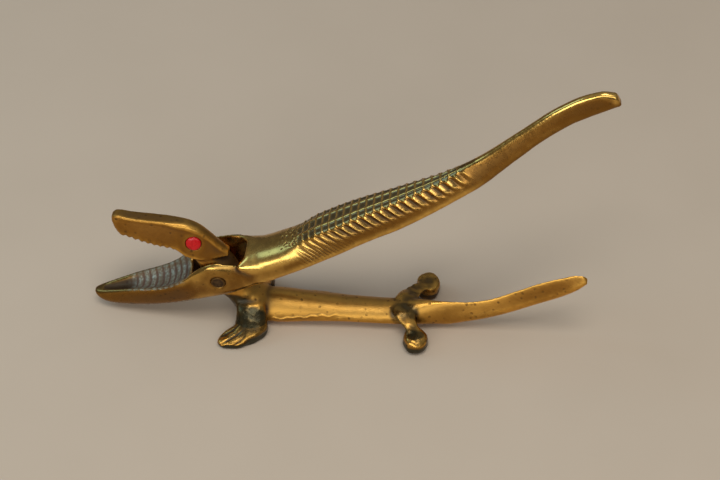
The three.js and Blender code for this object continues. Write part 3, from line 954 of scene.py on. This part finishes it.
# %% Verdigris in the tray
along, y, height = back_bench(points_of(back_piece))
under_rim = top_line(along) - height
inside = (np.abs(y) < upper_half(along) - 0.1 * rim_wall) * (height > underside(along) + 0.6)
in_tray = inside * smooth_fall(along, -slot_front - 2, -slot_front + 1)
on_ridges = in_tray * smooth_step(along, -ridges_from - 3, -ridges_from + 3)
verdigris = on_ridges * smooth_step(under_rim, -0.1, 0.5)
add_floats(back_piece, verdigris=verdigris, bar=smooth_step(wave(along, ridge_pitch), 0.15, 0.5))
print("points under verdigris:", int((verdigris > 0.5).sum()))

# %% [markdown]
# Hands polish what stands out, and dirt stays in what lies back. That could be painted, but the shape knows
# it better: the distance between the skin and a relaxed copy of it says how far each point stands out. A
# few rounds of relaxing find fine edges, and many find broad hollows. Darkening is added by place, most of
# it painted shade, and so is a share that keeps edges from shining.

# %% Wear and grime from the shape, and painted shade by place
wear_scales = ((8, 0.10), (60, 0.45))


def normals_of(piece):
    return vectors_of(piece.data.vertex_normals, "vector")


def add_wear(piece, darkened_by_place, edge_shine):
    """Marks worn edges, and grime and painted shade in hollows and at places given with their shares."""
    points = points_of(piece)
    normals = normals_of(piece)
    # Darkening by place, most of it painted shade, counts as if the point lay back in a hollow.
    hollow_and_shade = 2 * sum(share * place for share, place in darkened_by_place)
    for rounds, depth_mm in wear_scales:
        moved = relaxed(piece, points, rounds) - points
        hollow_and_shade = hollow_and_shade + np.einsum("ij,ij->i", moved, normals) / (depth_mm * MM)
    worn = edge_shine * np.clip(-hollow_and_shade, 0, 1)
    grime = np.clip(hollow_and_shade, 0, 1)
    add_floats(piece, worn=worn, grime=grime)
    print(piece.name, "worn", round(worn.mean(), 3), "grime", round(grime.mean(), 3))
    return worn


# %% [markdown]
# Hands close on the shoulder, so it is rubbed golden, together with the keels and the borders of the
# plates. The right wall of the slot is lightened to bare brass as painted light. The jaw and the depth of
# the slot get painted shade, and the tail is made darker, partly as painted shade. Edges shine less on the
# jaw, at the rims of the slot and round the rivet, and under the tail as painted shade.

# %% Wear and painted shade of the back
_, _, flank, _ = scale_place(points_of(back_piece))
facing_right = normals_of(back_piece)[:, 1]
by_slot = (along > -slot_front) & (along < slot_rear + 1)
# The right wall of the slot is lightened to bare brass below as painted light, and kept out of the slot's
# painted shade.
right_wall = by_slot * (y > slot_half_width - 0.5) * smooth_step(-facing_right, 0.2, 0.5)
on_shoulder = band(along, 9.5, 11, 28, 46) * smooth_fall(flank, 0.3, 0.65)
add_floats(back_piece, handled=np.max([0.1 + 0.9 * on_shoulder, lines, 0.65 * right_wall], axis=0))

in_slot = (np.abs(y) < slot_half_width + 0.3) & (along > -slot_front) & (along < slot_rear)
on_jaw = smooth_fall(along, -18, -8)
on_tail = smooth_step(along, 96, 108)
# Darkening by place: painted shade on the jaw and deep in the slot, and a darker tail, partly painted shade.
back_darkened = [
    (0.18, on_tail),
    (0.08, smooth_step(along, 128, 148)),
    (0.32, on_jaw * (1 - on_ridges)),
    (0.6, in_slot * smooth_step(under_rim, 1.0, 4.5) * (1 - 0.95 * right_wall)),
]
right_rim = band(along, -12, -8, 13, 16) * (y > 0)
left_rim = 0.6 * band(along, -6, -2, 7, 9) * (y < 0)
by_rivet = smooth_fall(np.hypot(along, height), 3, 4.5)
# Under the tail the edges are kept from shining: painted shade.
under_tail = on_tail * smooth_step(flank, 0.5, 0.9)
less_shine = np.max([on_jaw, right_rim, left_rim, by_rivet, under_tail], axis=0)
add_wear(back_piece, back_darkened, 1 - 0.9 * less_shine)

# %% [markdown]
# The belly lever is one casting too, but it is easier to draw as a head, a tongue with the chest, a belly
# with the tail, and four legs. They overlap, and a voxel remesh joins them into one skin later on. The head
# is a wedge with a row of rounded teeth along each lower edge. Separate teeth would have to be set one by
# one, so a wave in the lower edge of each section makes them. The palate between them is hollow.

# %% Outlines of the head
head_reach = 36.7
nape_reach = 3.4
tongue_half = slot_half_width - 0.35
head_edge = 1.0

head_top = curve_through(
    (-head_reach, 23.4), (-35.2, 24.3), (-30, 23.4), (-17, 22.5), (-11.5, 21.9), (-7, 20), (-3.4, 16.7),
    (0, 12.6), (nape_reach, 9),
)
tooth_line = curve_through(
    (-head_reach, 21), (-35.4, 18.4), (-33.4, 16.2), (-30.4, 15.7), (-23.3, 13.9), (-14.3, 11.8),
    (-11.6, 9.3), (-8.5, 7.9), (-4, 7.4), (nape_reach, 7.6),
)
head_lower = curve_through(
    (-head_reach, 1.5), (-35.4, 2.8), (-32.9, 3.7), (-26.8, tongue_half - 0.45), (-20, tongue_half),
    (-9, tongue_half), (-3, tongue_half - 0.85), (nape_reach, 2.2),
)
head_upper = curve_through(
    (-head_reach, 1.2), (-35.4, 1.9), (-31, 2.3), (-20, 2.4), (-9, 2.2), (-3, 1.7), (nape_reach, 1.2),
)
head_round = curve_through((-head_reach, 0.8), (-20, 0.9), (-12, 2.2), (nape_reach, 2))
head_squareness = curve_through((-head_reach, 0.4), (-20, 0.4), (-12, 0.75), (nape_reach, 0.8))


def head_sides(along):
    """Top, tooth line and crease as heights, then the half widths at the tooth line and at the crease."""
    top = head_top(along)
    low = tooth_line(along)
    crease = top - np.minimum(head_edge, 0.2 * (top - low))
    return top, low, crease, head_lower(along), head_upper(along)


print("head:", head_reach + nape_reach, "mm long and", 2 * tongue_half, "mm wide")

# %% [markdown]
# A half section of the head runs from the middle of the palate over the tooth and up the leaning side to
# the crown. The side has a shallow groove above each gap between two teeth, where the file ran on.

# %% Head with its teeth
tooth_depth = 0.65
tooth_pitch = 2.2
tooth_width = 0.5
teeth_from = 34.0
teeth_to = 14.0
palate_rise = 1.2
side_bulge = 0.6
groove_depth = 0.12


def head_rings(along):
    along = along[:, None]
    top, low, crease, lower, upper = head_sides(along)
    biting = band(along, -teeth_from, -teeth_from + 1, -teeth_to - 1, -teeth_to)
    gap = biting * (1 - wave(along, tooth_pitch))
    rise = np.minimum(palate_rise, 0.3 * (top - low))
    share = np.linspace(0, 1, 10)
    palate_y = (lower - tooth_width) * share
    palate_z = low + rise * (1 - share ** 4) + tooth_depth * gap * share ** 4
    gum = low + 0.6 * tooth_width + tooth_depth * gap
    round_from = top - np.minimum(head_round(along), 0.45 * (top - low))
    side_z = gum + (round_from - gum) * np.linspace(0, 1, 22)
    up_side = (side_z - low) / (crease - low)
    groove = groove_depth * gap ** 2 * smooth_fall(side_z - low, 0.8, 2.2)
    side_y = lower + (upper - lower) * up_side + side_bulge * up_side * (1 - up_side) - groove
    turn = quarter_turn[1:]
    squareness = head_squareness(along)
    round_y = side_y[:, -1:] * np.maximum(np.cos(turn), 0) ** squareness
    round_z = round_from + (top - round_from) * np.sin(turn) ** squareness
    half_y = np.hstack([palate_y, side_y, round_y])
    half_z = np.hstack([palate_z, side_z, round_z])
    return belly_place(stacked(along, *both_sides((half_y, half_z))))


head = loft("head", head_rings(np.linspace(-head_reach, nape_reach, 200)))
print("head:", len(head.data.vertices), "points")

# %% [markdown]
# The tongue hangs from the head, carries the rivet and widens into the chest. It stands upright, so it is a
# stack of level ovals with full corners, each given by its height, its front, its rear and its half width.

# %% Tongue and chest
belly_level = -21.6
chest_half = 6.6
post_squareness = 0.7


def squared(value, squareness):
    return np.sign(value) * np.abs(value) ** squareness


def between_rows(rows, finer):
    """More rows along smooth curves through the given ones, each column as an array of its own."""
    rows = np.array(rows, float)
    steps = np.arange(len(rows))
    fine = np.linspace(0, len(rows) - 1, finer * (len(rows) - 1) + 1)
    return [curve_through(*zip(steps, column))(fine)[:, None] for column in rows.T]


def post_rings(rows):
    height, front, rear, half = between_rows(rows, 4)
    turn = full_turn(48)
    x = (front + rear) / 2 + (rear - front) / 2 * squared(np.cos(turn), post_squareness)
    y = half * squared(np.sin(turn), post_squareness)
    return belly_place(stacked(x, y, height))


tongue = loft("tongue", post_rings([
    (11, -8.6, -2, 3.4), (8.4, -9.4, -1, 4.2), (6.4, -9, 0.6, 4.8), (3, -7.4, 4.6, tongue_half),
    (-3, -6.4, 7.2, tongue_half), (-7.5, -3.6, 10, tongue_half), (-11, 0.2, 14.5, 5.6),
    (-14, 2.6, 17.5, 6.3), (-18, 4.2, 19.5, chest_half), (-21, 5, 19.5, 6.2), (belly_level, 6, 19, 5.4),
]))
print("tongue and chest:", len(tongue.data.vertices), "points")

# %% [markdown]
# The belly is a bar that runs on into the lower tail. Its sections stand across it: nearly round at the
# belly, and in the tail a narrow ridge above a full underside. Only their squareness changes on the way, so
# a bar and a tail need not be joined.

# %% Belly and lower tail
belly_front = 8.0
lower_tail_reach = 128.8
widest_of_belly = 0.34

belly_top = curve_through(
    (belly_front, 9), (20, 9.2), (32, 8.2), (45, 7.4), (56, 7.4), (64, 8.2), (72, 9.6), (80, 10.4),
    (88, 11), (94, 12.5), (106, 19.3), (113, 23.6), (120, 26.8), (125, 28.6), (127.4, 28.5),
    (lower_tail_reach, 27.2),
)
belly_bottom = curve_through(
    (belly_front, -0.7), (19, -0.9), (32, 0.2), (45, 0.8), (64, 0.7), (75, 0.3), (80, 0.3), (88, 2.4),
    (99, 6.6), (113, 14.3), (121, 19.0), (126, 22.9), (lower_tail_reach, 25.6),
)
belly_half = curve_through(
    (belly_front, chest_half + 0.3), (20, chest_half + 0.6), (32, 6.5), (45, 5.9), (62, 5.5), (70, 4.7),
    (78, 3.5), (90, 2.7), (113, 2.3), (125, 2.2), (lower_tail_reach, 1.3),
)


def belly_rings(along):
    along = along[:, None]
    top = belly_level + belly_top(along)
    bottom = belly_level + belly_bottom(along)
    middle = bottom + widest_of_belly * (top - bottom)
    turn = full_turn(64)
    upper = np.sin(turn) > 0
    reach = np.where(upper, top - middle, middle - bottom)
    into_tail = smooth_step(along, 70, 88)
    squareness = np.where(upper, 1.15 + 0.7 * into_tail, 0.8 - 0.3 * into_tail)
    y = belly_half(along) * squared(np.cos(turn), squareness)
    z = middle + reach * squared(np.sin(turn), squareness)
    return belly_place(stacked(along, y, z))


belly = loft("belly", belly_rings(np.linspace(belly_front, lower_tail_reach, 160)))
print("belly and lower tail:", len(belly.data.vertices), "points")

# %% [markdown]
# A leg is a stack of level ovals from the hip to the sole. A bent tube would need its sole cut flat, and
# this one ends flat by itself. The front feet are long and turn outwards. The rear feet are short stubs,
# the left one a nub and the right one a drum, which stands a little further out and back.

# %% Legs
sole_level = -pivot[2] / MM
front_place = 8.3
front_spread = 13.5
front_turn = math.radians(27)
rear_place = 64.5
rear_radius = 4.4
rear_steps = {-1: 5.7, 1: 8.8}
rear_spreads = {-1: 11.8, 1: 14.1}


def leg_rings(rows):
    """Rows of height, x, y, half length, half width and turn become rings."""
    height, x, y, half_length, half_width, turn = between_rows(rows, 5)
    around = full_turn(40)
    long = half_length * np.cos(around)
    wide = half_width * np.sin(around)
    level_x = x + long * np.cos(turn) - wide * np.sin(turn)
    level_y = y + long * np.sin(turn) + wide * np.cos(turn)
    return belly_place(stacked(level_x, level_y, height))


def front_leg(side):
    turn = -side * front_turn
    return leg_rings([
        (-11.8, 10.2, side * 4.6, 4.4, 2.4, 0),
        (-13.6, 10.6, side * 6.4, 5.2, 3.6, 0),
        (-16, 11.2, side * 9.05, 5.6, 4.2, 0),
        (-18.4, 11.2, side * 11.5, 6, 4.4, turn / 2),
        (-20, 9, side * 13, 8.6, 4.3, turn),
        (-20.5, 8.6, side * 13.3, 9.4, 4.5, turn),
        (-22, front_place, side * front_spread, 9.5, 4.4, turn),
        (sole_level, front_place, side * front_spread, 9, 4, turn),
    ])


def rear_leg(side):
    step = rear_steps[side]
    spread = rear_spreads[side]
    place = rear_place + step
    radius = rear_radius
    leg = [
        (-13.4, rear_place + 0.1 * step, side * 2.4, 3, 1.8, 0),
        (-14.6, rear_place + 0.2 * step, side * 4.4, 4.2, 2.8, 0),
        (-15.6, rear_place + 0.5 * step, side * 0.62 * spread, 3.2, 2.7, 0),
        (-16.2, rear_place + 0.8 * step, side * 0.82 * spread, 2.7, 2.6, 0),
    ]
    nub = [
        (-16.9, place - 0.3, side * (spread - 0.4), radius - 0.9, radius - 0.9, 0),
        (-18.4, place, side * spread, radius, radius + 0.2, 0),
        (-20.6, place, side * spread, radius + 0.2, radius + 0.4, 0),
        (-22.2, place, side * spread, radius - 0.3, radius - 0.1, 0),
        (sole_level, place, side * spread, radius - 1.2, radius - 1.1, 0),
    ]
    drum = [
        (-16.4, place - 0.2, side * (spread - 0.2), radius - 0.5, radius - 0.3, 0),
        (-17, place, side * spread, radius, radius + 0.3, 0),
        (-21, place, side * spread, radius - 0.1, radius + 0.2, 0),
        (sole_level, place, side * spread, radius - 1, radius - 0.7, 0),
    ]
    return leg_rings(leg + (nub if side < 0 else drum))


legs = [loft("leg", rings(side)) for side in (-1, 1) for rings in (front_leg, rear_leg)]
print("legs:", [len(leg.data.vertices) for leg in legs], "points")

# %% [markdown]
# Joining the lofts gives one mesh whose skins cross, and the remesh keeps only the outer one. Booleans
# could unite them too, but would leave hard creases. The belly and the legs are then relaxed more than the
# head, so that the legs grow out of the belly with wide fillets while the teeth stay crisp. Points under
# the table go back up to it, which makes the soles flat.

# %% One belly casting
belly_voxel = 0.37
crisp_rounds = 2
fillet_rounds = 16


def joined(name, pieces):
    points = np.vstack([points_of(piece) for piece in pieces])
    faces = []
    start = 0
    for piece in pieces:
        faces += [[start + corner for corner in face.vertices] for face in piece.data.polygons]
        start += len(piece.data.vertices)
        bpy.data.objects.remove(piece)
    return object_from(name, points, faces)


def set_on_table(piece, points):
    points[:, 2] = np.maximum(points[:, 2], 0)
    set_points(piece, points)


belly_piece = joined("belly_casting", [head, tongue, belly, *legs])
remesh(belly_piece, belly_voxel)
points = relaxed(belly_piece, points_of(belly_piece), crisp_rounds)
x, y, z = belly_bench(points)
below_slot = smooth_step(-z, 8, 12)
before_tail = smooth_fall(x, 84, 92)
off_floor = points[:, 2] / MM
in_feet = smooth_fall(off_floor, 4.5, 8) * smooth_step(np.abs(y), 7.5, 9)
fillet_share = 0.5 * below_slot * before_tail * (1 - 0.8 * in_feet)
set_on_table(belly_piece, relaxed(belly_piece, points, fillet_rounds, fillet_share))
print("belly lever:", len(belly_piece.data.polygons), "faces")

# %% [markdown]
# Each eye is a red glass bead cemented into a drilled socket. The flank of the head leans there, and the
# bead looks out square to it. A ball would stand out too far, so the bead is a short rod with a low dome,
# turned about the line that the eye looks along. The cutter of its socket is turned about the same line.

# %% Eye sockets and beads
eye_radius = 2.7
eye_back = 8.4
eye_height = 14.6
eye_seat_depth = 1.8
eye_dome = 0.7
eye_gap = 0.15
bead_edge = 0.15
bead_tip = 0.1
socket_radius = eye_radius + eye_gap
socket_profile = [(socket_radius, -eye_seat_depth - eye_gap), (socket_radius, 4)]
dome_turn = np.linspace(0, math.pi / 2, 12, endpoint=False)
bead_profile = [
    (eye_radius - bead_edge, -eye_seat_depth), (eye_radius, -eye_seat_depth + bead_edge),
    *((eye_radius * math.cos(turn), eye_dome * math.sin(turn)) for turn in dome_turn), (bead_tip, eye_dome),
]


def eye_rings(side, profile):
    """Rings about the line that an eye looks along: profile holds pairs of radius and place along it."""
    _, low, crease, lower, upper = head_sides(np.array(-eye_back))
    share = (eye_height - low) / (crease - low)
    middle = np.array([-eye_back, side * (lower + (upper - lower) * share), eye_height])
    lean = math.atan2(lower - upper, crease - low)
    out = np.array([0, side * math.cos(lean), math.sin(lean)])
    forward = np.array([1.0, 0, 0])
    upward = np.cross(out, forward)
    turn = full_turn(48)[:, None]
    rim = np.cos(turn) * forward + np.sin(turn) * upward
    return belly_place(np.stack([middle + radius * rim + place * out for radius, place in profile]))


belly_cutters = [loft("socket_cutter", eye_rings(side, socket_profile)) for side in (-1, 1)]
belly_cutters.append(loft("hole_cutter", turned_rings(hole_profile)))
cut(belly_piece, belly_cutters)
left_bead = loft("left_bead", eye_rings(-1, bead_profile))
right_bead = loft("right_bead", eye_rings(1, bead_profile))
print("beads:", len(left_bead.data.polygons), len(right_bead.data.polygons), "faces")

# %% [markdown]
# The rivet is a steel pin through both cheeks and the tongue, filed flush with the cheeks. A cylinder would
# end in a hard circle. The real end is a shade hollow with a softened edge, so the pin is turned from a
# profile that holds both, and the profile is mirrored for the other end.

# %% Rivet
rivet_radius = 2.5
rivet_end = 8.22
rivet_waist = 5.0
right_end = [
    (0.3, rivet_end - 0.06), (1.6, rivet_end - 0.05), (2.1, rivet_end - 0.01), (2.36, rivet_end),
    (2.45, rivet_end - 0.03), (rivet_radius, rivet_end - 0.12), (rivet_radius, rivet_waist),
]
left_end = [(radius, -place) for radius, place in right_end[::-1]]
rivet = loft("rivet", turned_rings(right_end + left_end))
print("rivet:", len(rivet.data.polygons), "faces")

# %% [markdown]
# The front feet have toes that fan out, cut with a round file. Along the lower edge of the belly runs the
# seam where the two halves of the mould met, left as a thin wavy ridge, and the legs are wrinkled as they
# came from the sand. All three follow a rule, so a second geometry tree makes them. It reads numbers on the
# points: how far each lies across the fan of toes and towards the tips, how near the seam, and how much on
# a leg.

# %% Where toes, seam and legs are
seam_height = 4.2
seam_width = 0.32
seam_sway = 0.35
toe_fan = 0.07
hip_share = 0.2
hip_spread = 4.4
hip_drop = 15


def side_of(y):
    return np.where(y < 0, -1, 1)


def toe_places(x, y, z):
    """Across the fan of toes, and how far towards the tips, for the nearer front foot of each point."""
    turn = -side_of(y) * front_turn
    off_x = x - front_place
    off_y = y - side_of(y) * front_spread
    forward = -(off_x * np.cos(turn) + off_y * np.sin(turn))
    sideways = -off_x * np.sin(turn) + off_y * np.cos(turn)
    low_outside = (z < sole_level + 7) & (np.abs(y) > chest_half + 2)
    on_foot = (np.abs(sideways) < 6) & (np.abs(forward) < 11) & low_outside
    return sideways / (1 + toe_fan * forward), np.where(on_foot, smooth_step(forward, -1.5, 3), 0)


def seam_share(x, y, z):
    sway = seam_sway * np.sin(1.1 * x) * np.sin(0.37 * x)
    line = belly_level + belly_bottom(x) + seam_height + sway
    on_belly = band(x, 17, 21, 34, 46) * (np.abs(y) < chest_half + 1)
    return on_belly * np.exp(-((z - line) / seam_width) ** 2)


def leg_share(x, y, z):
    """One on the legs and nought on the belly, with a soft border round each hip."""
    beyond = smooth_step(np.abs(y) - belly_half(x), -0.8, 1.4)
    hip_x = rear_place + hip_share * np.where(y < 0, rear_steps[-1], rear_steps[1])
    hip_y = side_of(y) * hip_spread
    from_hip = np.sqrt((x - hip_x) ** 2 + (y - hip_y) ** 2 + (z + hip_drop) ** 2)
    on_leg = np.maximum(beyond, 0.8 * smooth_fall(from_hip, 4.2, 6))
    chest = 0.9 * smooth_step(-z, 8.5, 10) * smooth_fall(x, 8, 13)
    return np.maximum(on_leg * (z < belly_level + 9.5), chest)


belly_xyz = belly_bench(points_of(belly_piece))
toe_across, toe_forward = toe_places(*belly_xyz)
seam = seam_share(*belly_xyz)
add_floats(belly_piece, toe_across=toe_across, toe_forward=toe_forward)
add_floats(belly_piece, seam=seam, leg=leg_share(*belly_xyz))
print("points on toes:", int((toe_forward > 0.5).sum()), "and on the seam:", int((seam > 0.5).sum()))

# %% [markdown]
# Half way across each toe nothing is cut, and between two toes the file goes in, but only on faces that
# look up. The wrinkles are slow noise. They push some points below the table, so the soles are made flat
# again.

# %% Carve the toes, the wrinkles and the seam
toe_sizes = {"Toe pitch": 2.1, "Toe depth": 0.3, "Wrinkle depth": 0.7, "Seam height": 0.35}


def toe_tree(sizes):
    tree, size = new_geometry_tree("toe_carving", sizes)
    across = named(tree, "toe_across")
    pitch = size["Toe pitch"]
    share = (across / pitch + 0.5).fraction()
    cut_in = abs(2 * share - 1).step(0.5, 1.0) * abs(across).step(2.0 * pitch, 1.5 * pitch)
    up = up_part(tree, Wire.node(tree, "GeometryNodeInputNormal"))
    toes = size["Toe depth"] * cut_in * named(tree, "toe_forward") * up.step(0.15, 0.45)
    place = Wire.node(tree, "GeometryNodeInputPosition")
    folds = Wire.node(tree, "ShaderNodeTexNoise", None, {"Vector": place, "Scale": 0.3 / MM, "Detail": 0.5})
    wrinkles = size["Wrinkle depth"] * named(tree, "leg") * (folds - 0.5)
    end_tree(tree, size, size["Seam height"] * named(tree, "seam") + wrinkles - toes)
    return tree


run_tree(belly_piece, toe_tree(toe_sizes), {**toe_sizes, "Finish": belly_brass})
set_on_table(belly_piece, points_of(belly_piece))
print("toes and seam on", len(belly_piece.data.polygons), "faces")

# %% [markdown]
# The belly casting takes its wear from its shape as the back does. The front of the belly is handled most.
# Painted shade lies on the walls of the feet, on the brow and the nape, and on the tongue in the slot, and
# the calves and the head are made darker. Edges shine less round the eyes and on the snout.

# %% Wear and painted shade of the belly
front_to = 30

x, y, z = belly_bench(points_of(belly_piece))
above_sole = z - sole_level
_, facing_right, facing_up = normals_of(belly_piece).T
on_leg = leg_share(x, y, z)
below_head = smooth_step(-z, 4, 10) * (1 - 0.3 * smooth_step(x, 36, 52) - 0.35 * smooth_step(x, 70, 84))
add_floats(belly_piece, handled=(0.08 + 0.8 * below_head) * (1 - on_leg))

# The low walls of the feet get painted shade.
foot_wall = (above_sole < 3.6) * smooth_fall(facing_up, 0.35, 0.7)
calf = on_leg * (x < front_to) * smooth_step(above_sole, 5, 7)
brow = smooth_step(z, 12, 15) * smooth_step(facing_up, 0.55, 0.85)
nape = smooth_step(x, -10, -6) * smooth_step(z, 9, 11) * smooth_step(facing_up, 0.2, 0.45)
in_slot = band(x, -2, 1, 12, 16) * band(z, -6, -3, 7, 9)
# Darkening by place: painted shade on the walls of the feet, the brow, the nape and in the slot; the calves
# and the head are only made darker.
belly_darkened = [
    (0.8, on_leg * foot_wall),
    (0.15, calf),
    (0.08, smooth_step(z, 4, 8)),
    (0.22, np.maximum(brow, nape)),
    (0.6, in_slot),
]
by_eye = smooth_fall(np.hypot(x + eye_back, z - eye_height), 3.2, 4.5)
on_snout = smooth_fall(x, -19, -11) * smooth_step(z, 12, 15)
worn = add_wear(belly_piece, belly_darkened, 1 - np.maximum(0.85 * by_eye, 0.65 * on_snout))

# %% [markdown]
# The legs are stained almost black, because fingers never rub them clean. The ridge and the top of each
# foot, the shins of the rear legs and the left sides of their feet are left unstained as painted highlights
# where light catches them, and the right rear leg is paler all over. Which way a face looks tells most of
# these places apart, so no mask is painted.

# %% Stain and painted highlights of the legs
rear_from = 40
highlight_share = 0.75

on_rear = x > rear_from
foot_top = (above_sole < 6.5) * smooth_step(facing_up, 0.3, 0.6)
foot_ridge = (above_sole > 1.8) * (above_sole < 4.2) * band(facing_up, 0.2, 0.45, 0.7, 0.92)
shin = on_rear * band(np.abs(y), 5.5, 7, 9.5, 11) * smooth_step(facing_up, 0.6, 0.85)
looks_left = smooth_step(-facing_right, 0.2, 0.5)
rear_toe = on_rear * (above_sole < 5.5) * looks_left * smooth_step(facing_up, 0.1, 0.35)
right_rear = on_rear * (y > 0)
# The unstained shins, ridges, foot tops and left sides of the rear feet are painted highlights.
unstained = highlight_share * np.max([shin, rear_toe, foot_ridge], axis=0)
unstained = np.max([unstained, (0.22 + 0.3 * worn) * foot_top, 0.5 * right_rear], axis=0)
stain = on_leg * (1 - unstained)
add_floats(belly_piece, stain=stain)
print("stained points of the belly lever:", int((stain > 0.5).sum()))

# %% [markdown]
# The rivet's steel has gone brown, and the file has smeared brass over its rim. The smear follows the
# distance from the rivet axis. A number on each point could hold that, but the end has few points, so
# vector maths measures it in the finish itself.

# %% Dark steel


def vector_maths(operation, *values, output=0):
    return Wire.node(
        values[0].tree, "ShaderNodeVectorMath", {"operation": operation}, dict(enumerate(values)), output
    )


def dark_steel():
    material, tree, shader = new_material("rivet_steel")
    place = coordinate(tree)
    blotch = noise(place, 0.9, 4.0).step(0.35, 0.7)
    grain = noise(place, 5.0, 2.0)
    from_axis = vector_maths("MULTIPLY", vector_maths("SUBTRACT", place, tuple(pivot)), (1, 0, 1))
    radius = vector_maths("LENGTH", from_axis, output="Value")
    smeared = radius.step(1.75 * MM, 2.35 * MM) * (0.7 + 0.3 * blotch)
    skin = mixed(blotch, (0.050, 0.027, 0.012, 1), (0.115, 0.066, 0.028, 1))
    skin = mixed(smeared, skin, (0.15, 0.075, 0.018, 1))
    shader.inputs["Metallic"].default_value = 0.9
    bump = relief_of(grain, 0.3, 0.05)
    attach(tree, shader, {"Base Color": skin, "Roughness": 0.42 + 0.16 * blotch, "Normal": bump})
    return material


rivet.data.materials.append(dark_steel())
print("finish of the rivet:", rivet.data.materials[0].name)

# %% [markdown]
# The bead is red glass over a dark seat. True glass would need many bounces of light inside five millimetres,
# so it is a deep red skin under a thin clear coat, with clouds in it and small bubbles.

# %% Red glass


def red_glass():
    material, tree, shader = new_material("eye_glass")
    place = coordinate(tree)
    clouds = noise(place, 0.6).step(0.3, 0.7)
    bubbles = specks(place, 1.6).step(0.3, 0.12)
    skin = mixed(clouds, (0.40, 0.003, 0.005, 1), (0.56, 0.007, 0.009, 1))
    skin = mixed(0.4 * bubbles, skin, (0.62, 0.02, 0.02, 1))
    shader.inputs["Coat Weight"].default_value = 0.2
    shader.inputs["Coat Roughness"].default_value = 0.08
    shader.inputs["Specular IOR Level"].default_value = 0.2
    attach(tree, shader, {"Base Color": skin, "Roughness": 0.22 + 0.1 * clouds})
    return material


bead_glass = red_glass()
for bead in (left_bead, right_bead):
    bead.data.materials.append(bead_glass)
print("finish of the beads:", bead_glass.name)

# %% [markdown]
# Each piece stands for its solid and rides on its body, and each row also gives the name of its finish.
# One list says all of that. The rivet is fixed in the back lever and turns with it.

# %% Dress the frame
dressing = [
    (back_piece, "back_lever", "back", "back_brass"),
    (belly_piece, "belly_lever", "belly", "belly_brass"),
    (rivet, "pivot_rivet", "back", "rivet_steel"),
    (left_bead, "left_eye", "belly", "eye_glass"),
    (right_bead, "right_eye", "belly", "eye_glass"),
]
for piece, node, body, slot in dressing:
    piece.data.shade_smooth()
    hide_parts(node)
    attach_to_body(piece, body)
    print(piece.name, "stands for", node, "with", len(piece.data.polygons), "faces")

# %% [markdown]
# Polished metal shows the room more than its own colour. The floor is plain and pale, so faces that look to
# the front and down mirror it and glow. One face is enough, because nothing shows of it but its colour.

# %% Floor
floor_half = 2.0


def stage_floor():
    half = floor_half
    corners = [(-half, -half, 0), (half, -half, 0), (half, half, 0), (-half, half, 0)]
    floor = object_from("floor", corners, [[0, 1, 2, 3]])
    material, tree, shader = new_material("pale_floor")
    skin = mixed(noise(coordinate(tree), 0.02, 2.0), (0.55, 0.437, 0.318, 1), (0.59, 0.47, 0.345, 1))
    shader.inputs["Roughness"].default_value = 0.9
    shader.inputs["Specular IOR Level"].default_value = 0.1
    attach(tree, shader, {"Base Color": skin})
    floor.data.materials.append(material)


stage_floor()
print("floor:", 2 * floor_half, "m wide")

# %% [markdown]
# A picture of a studio could light the scene, but area lamps can be placed one by one. The key hangs
# overhead, slightly to the front. A blue window on the snout's side tints the faces that look there, a
# broad window in front and another in the corner between them light the flanks, and the room is dim, so
# faces that look up stay dark.

# %% Lamps and room


def lamp(name, place, target, size, power, colour):
    data = bpy.data.lights.new(name, "AREA")
    data.shape = "RECTANGLE"
    data.size, data.size_y = size
    data.energy = power
    data.color = colour
    made = bpy.data.objects.new(name, data)
    made.location = place
    made.rotation_euler = facing(place, target)
    bpy.context.collection.objects.link(made)


def dim_room():
    world = bpy.data.worlds.new("room")
    bpy.context.scene.world = world
    world.use_nodes = True
    tree = world.node_tree
    rise = up_part(tree, coordinate(tree, "Generated"))
    sky = mixed(rise.step(0.1, 0.9), (0.14, 0.135, 0.13, 1), (0.34, 0.36, 0.39, 1))
    attach(tree, tree.nodes["Background"], {"Color": sky})


lamp("key", (0.05, -0.3, 1.15), (0, 0, 0.03), (0.6, 0.5), 5.1, (0.98, 0.99, 1.0))
lamp("left_window", (-0.85, 0.03, 0.68), (0, 0, 0.04), (0.5, 0.5), 1.9, (0.34, 0.66, 1.0))
lamp("corner_window", (-0.59, -1.12, 0.40), (0, 0, 0.04), (0.7, 0.36), 4.0, (0.92, 0.97, 1.0))
lamp("front_window", (0.15, -1.0, 0.58), (0, 0, 0.04), (1.0, 0.42), 2.8, (0.96, 0.98, 1.0))
dim_room()
bpy.context.scene.view_settings.view_transform = "Standard"
print("lamps:", [light.name for light in bpy.data.lights])
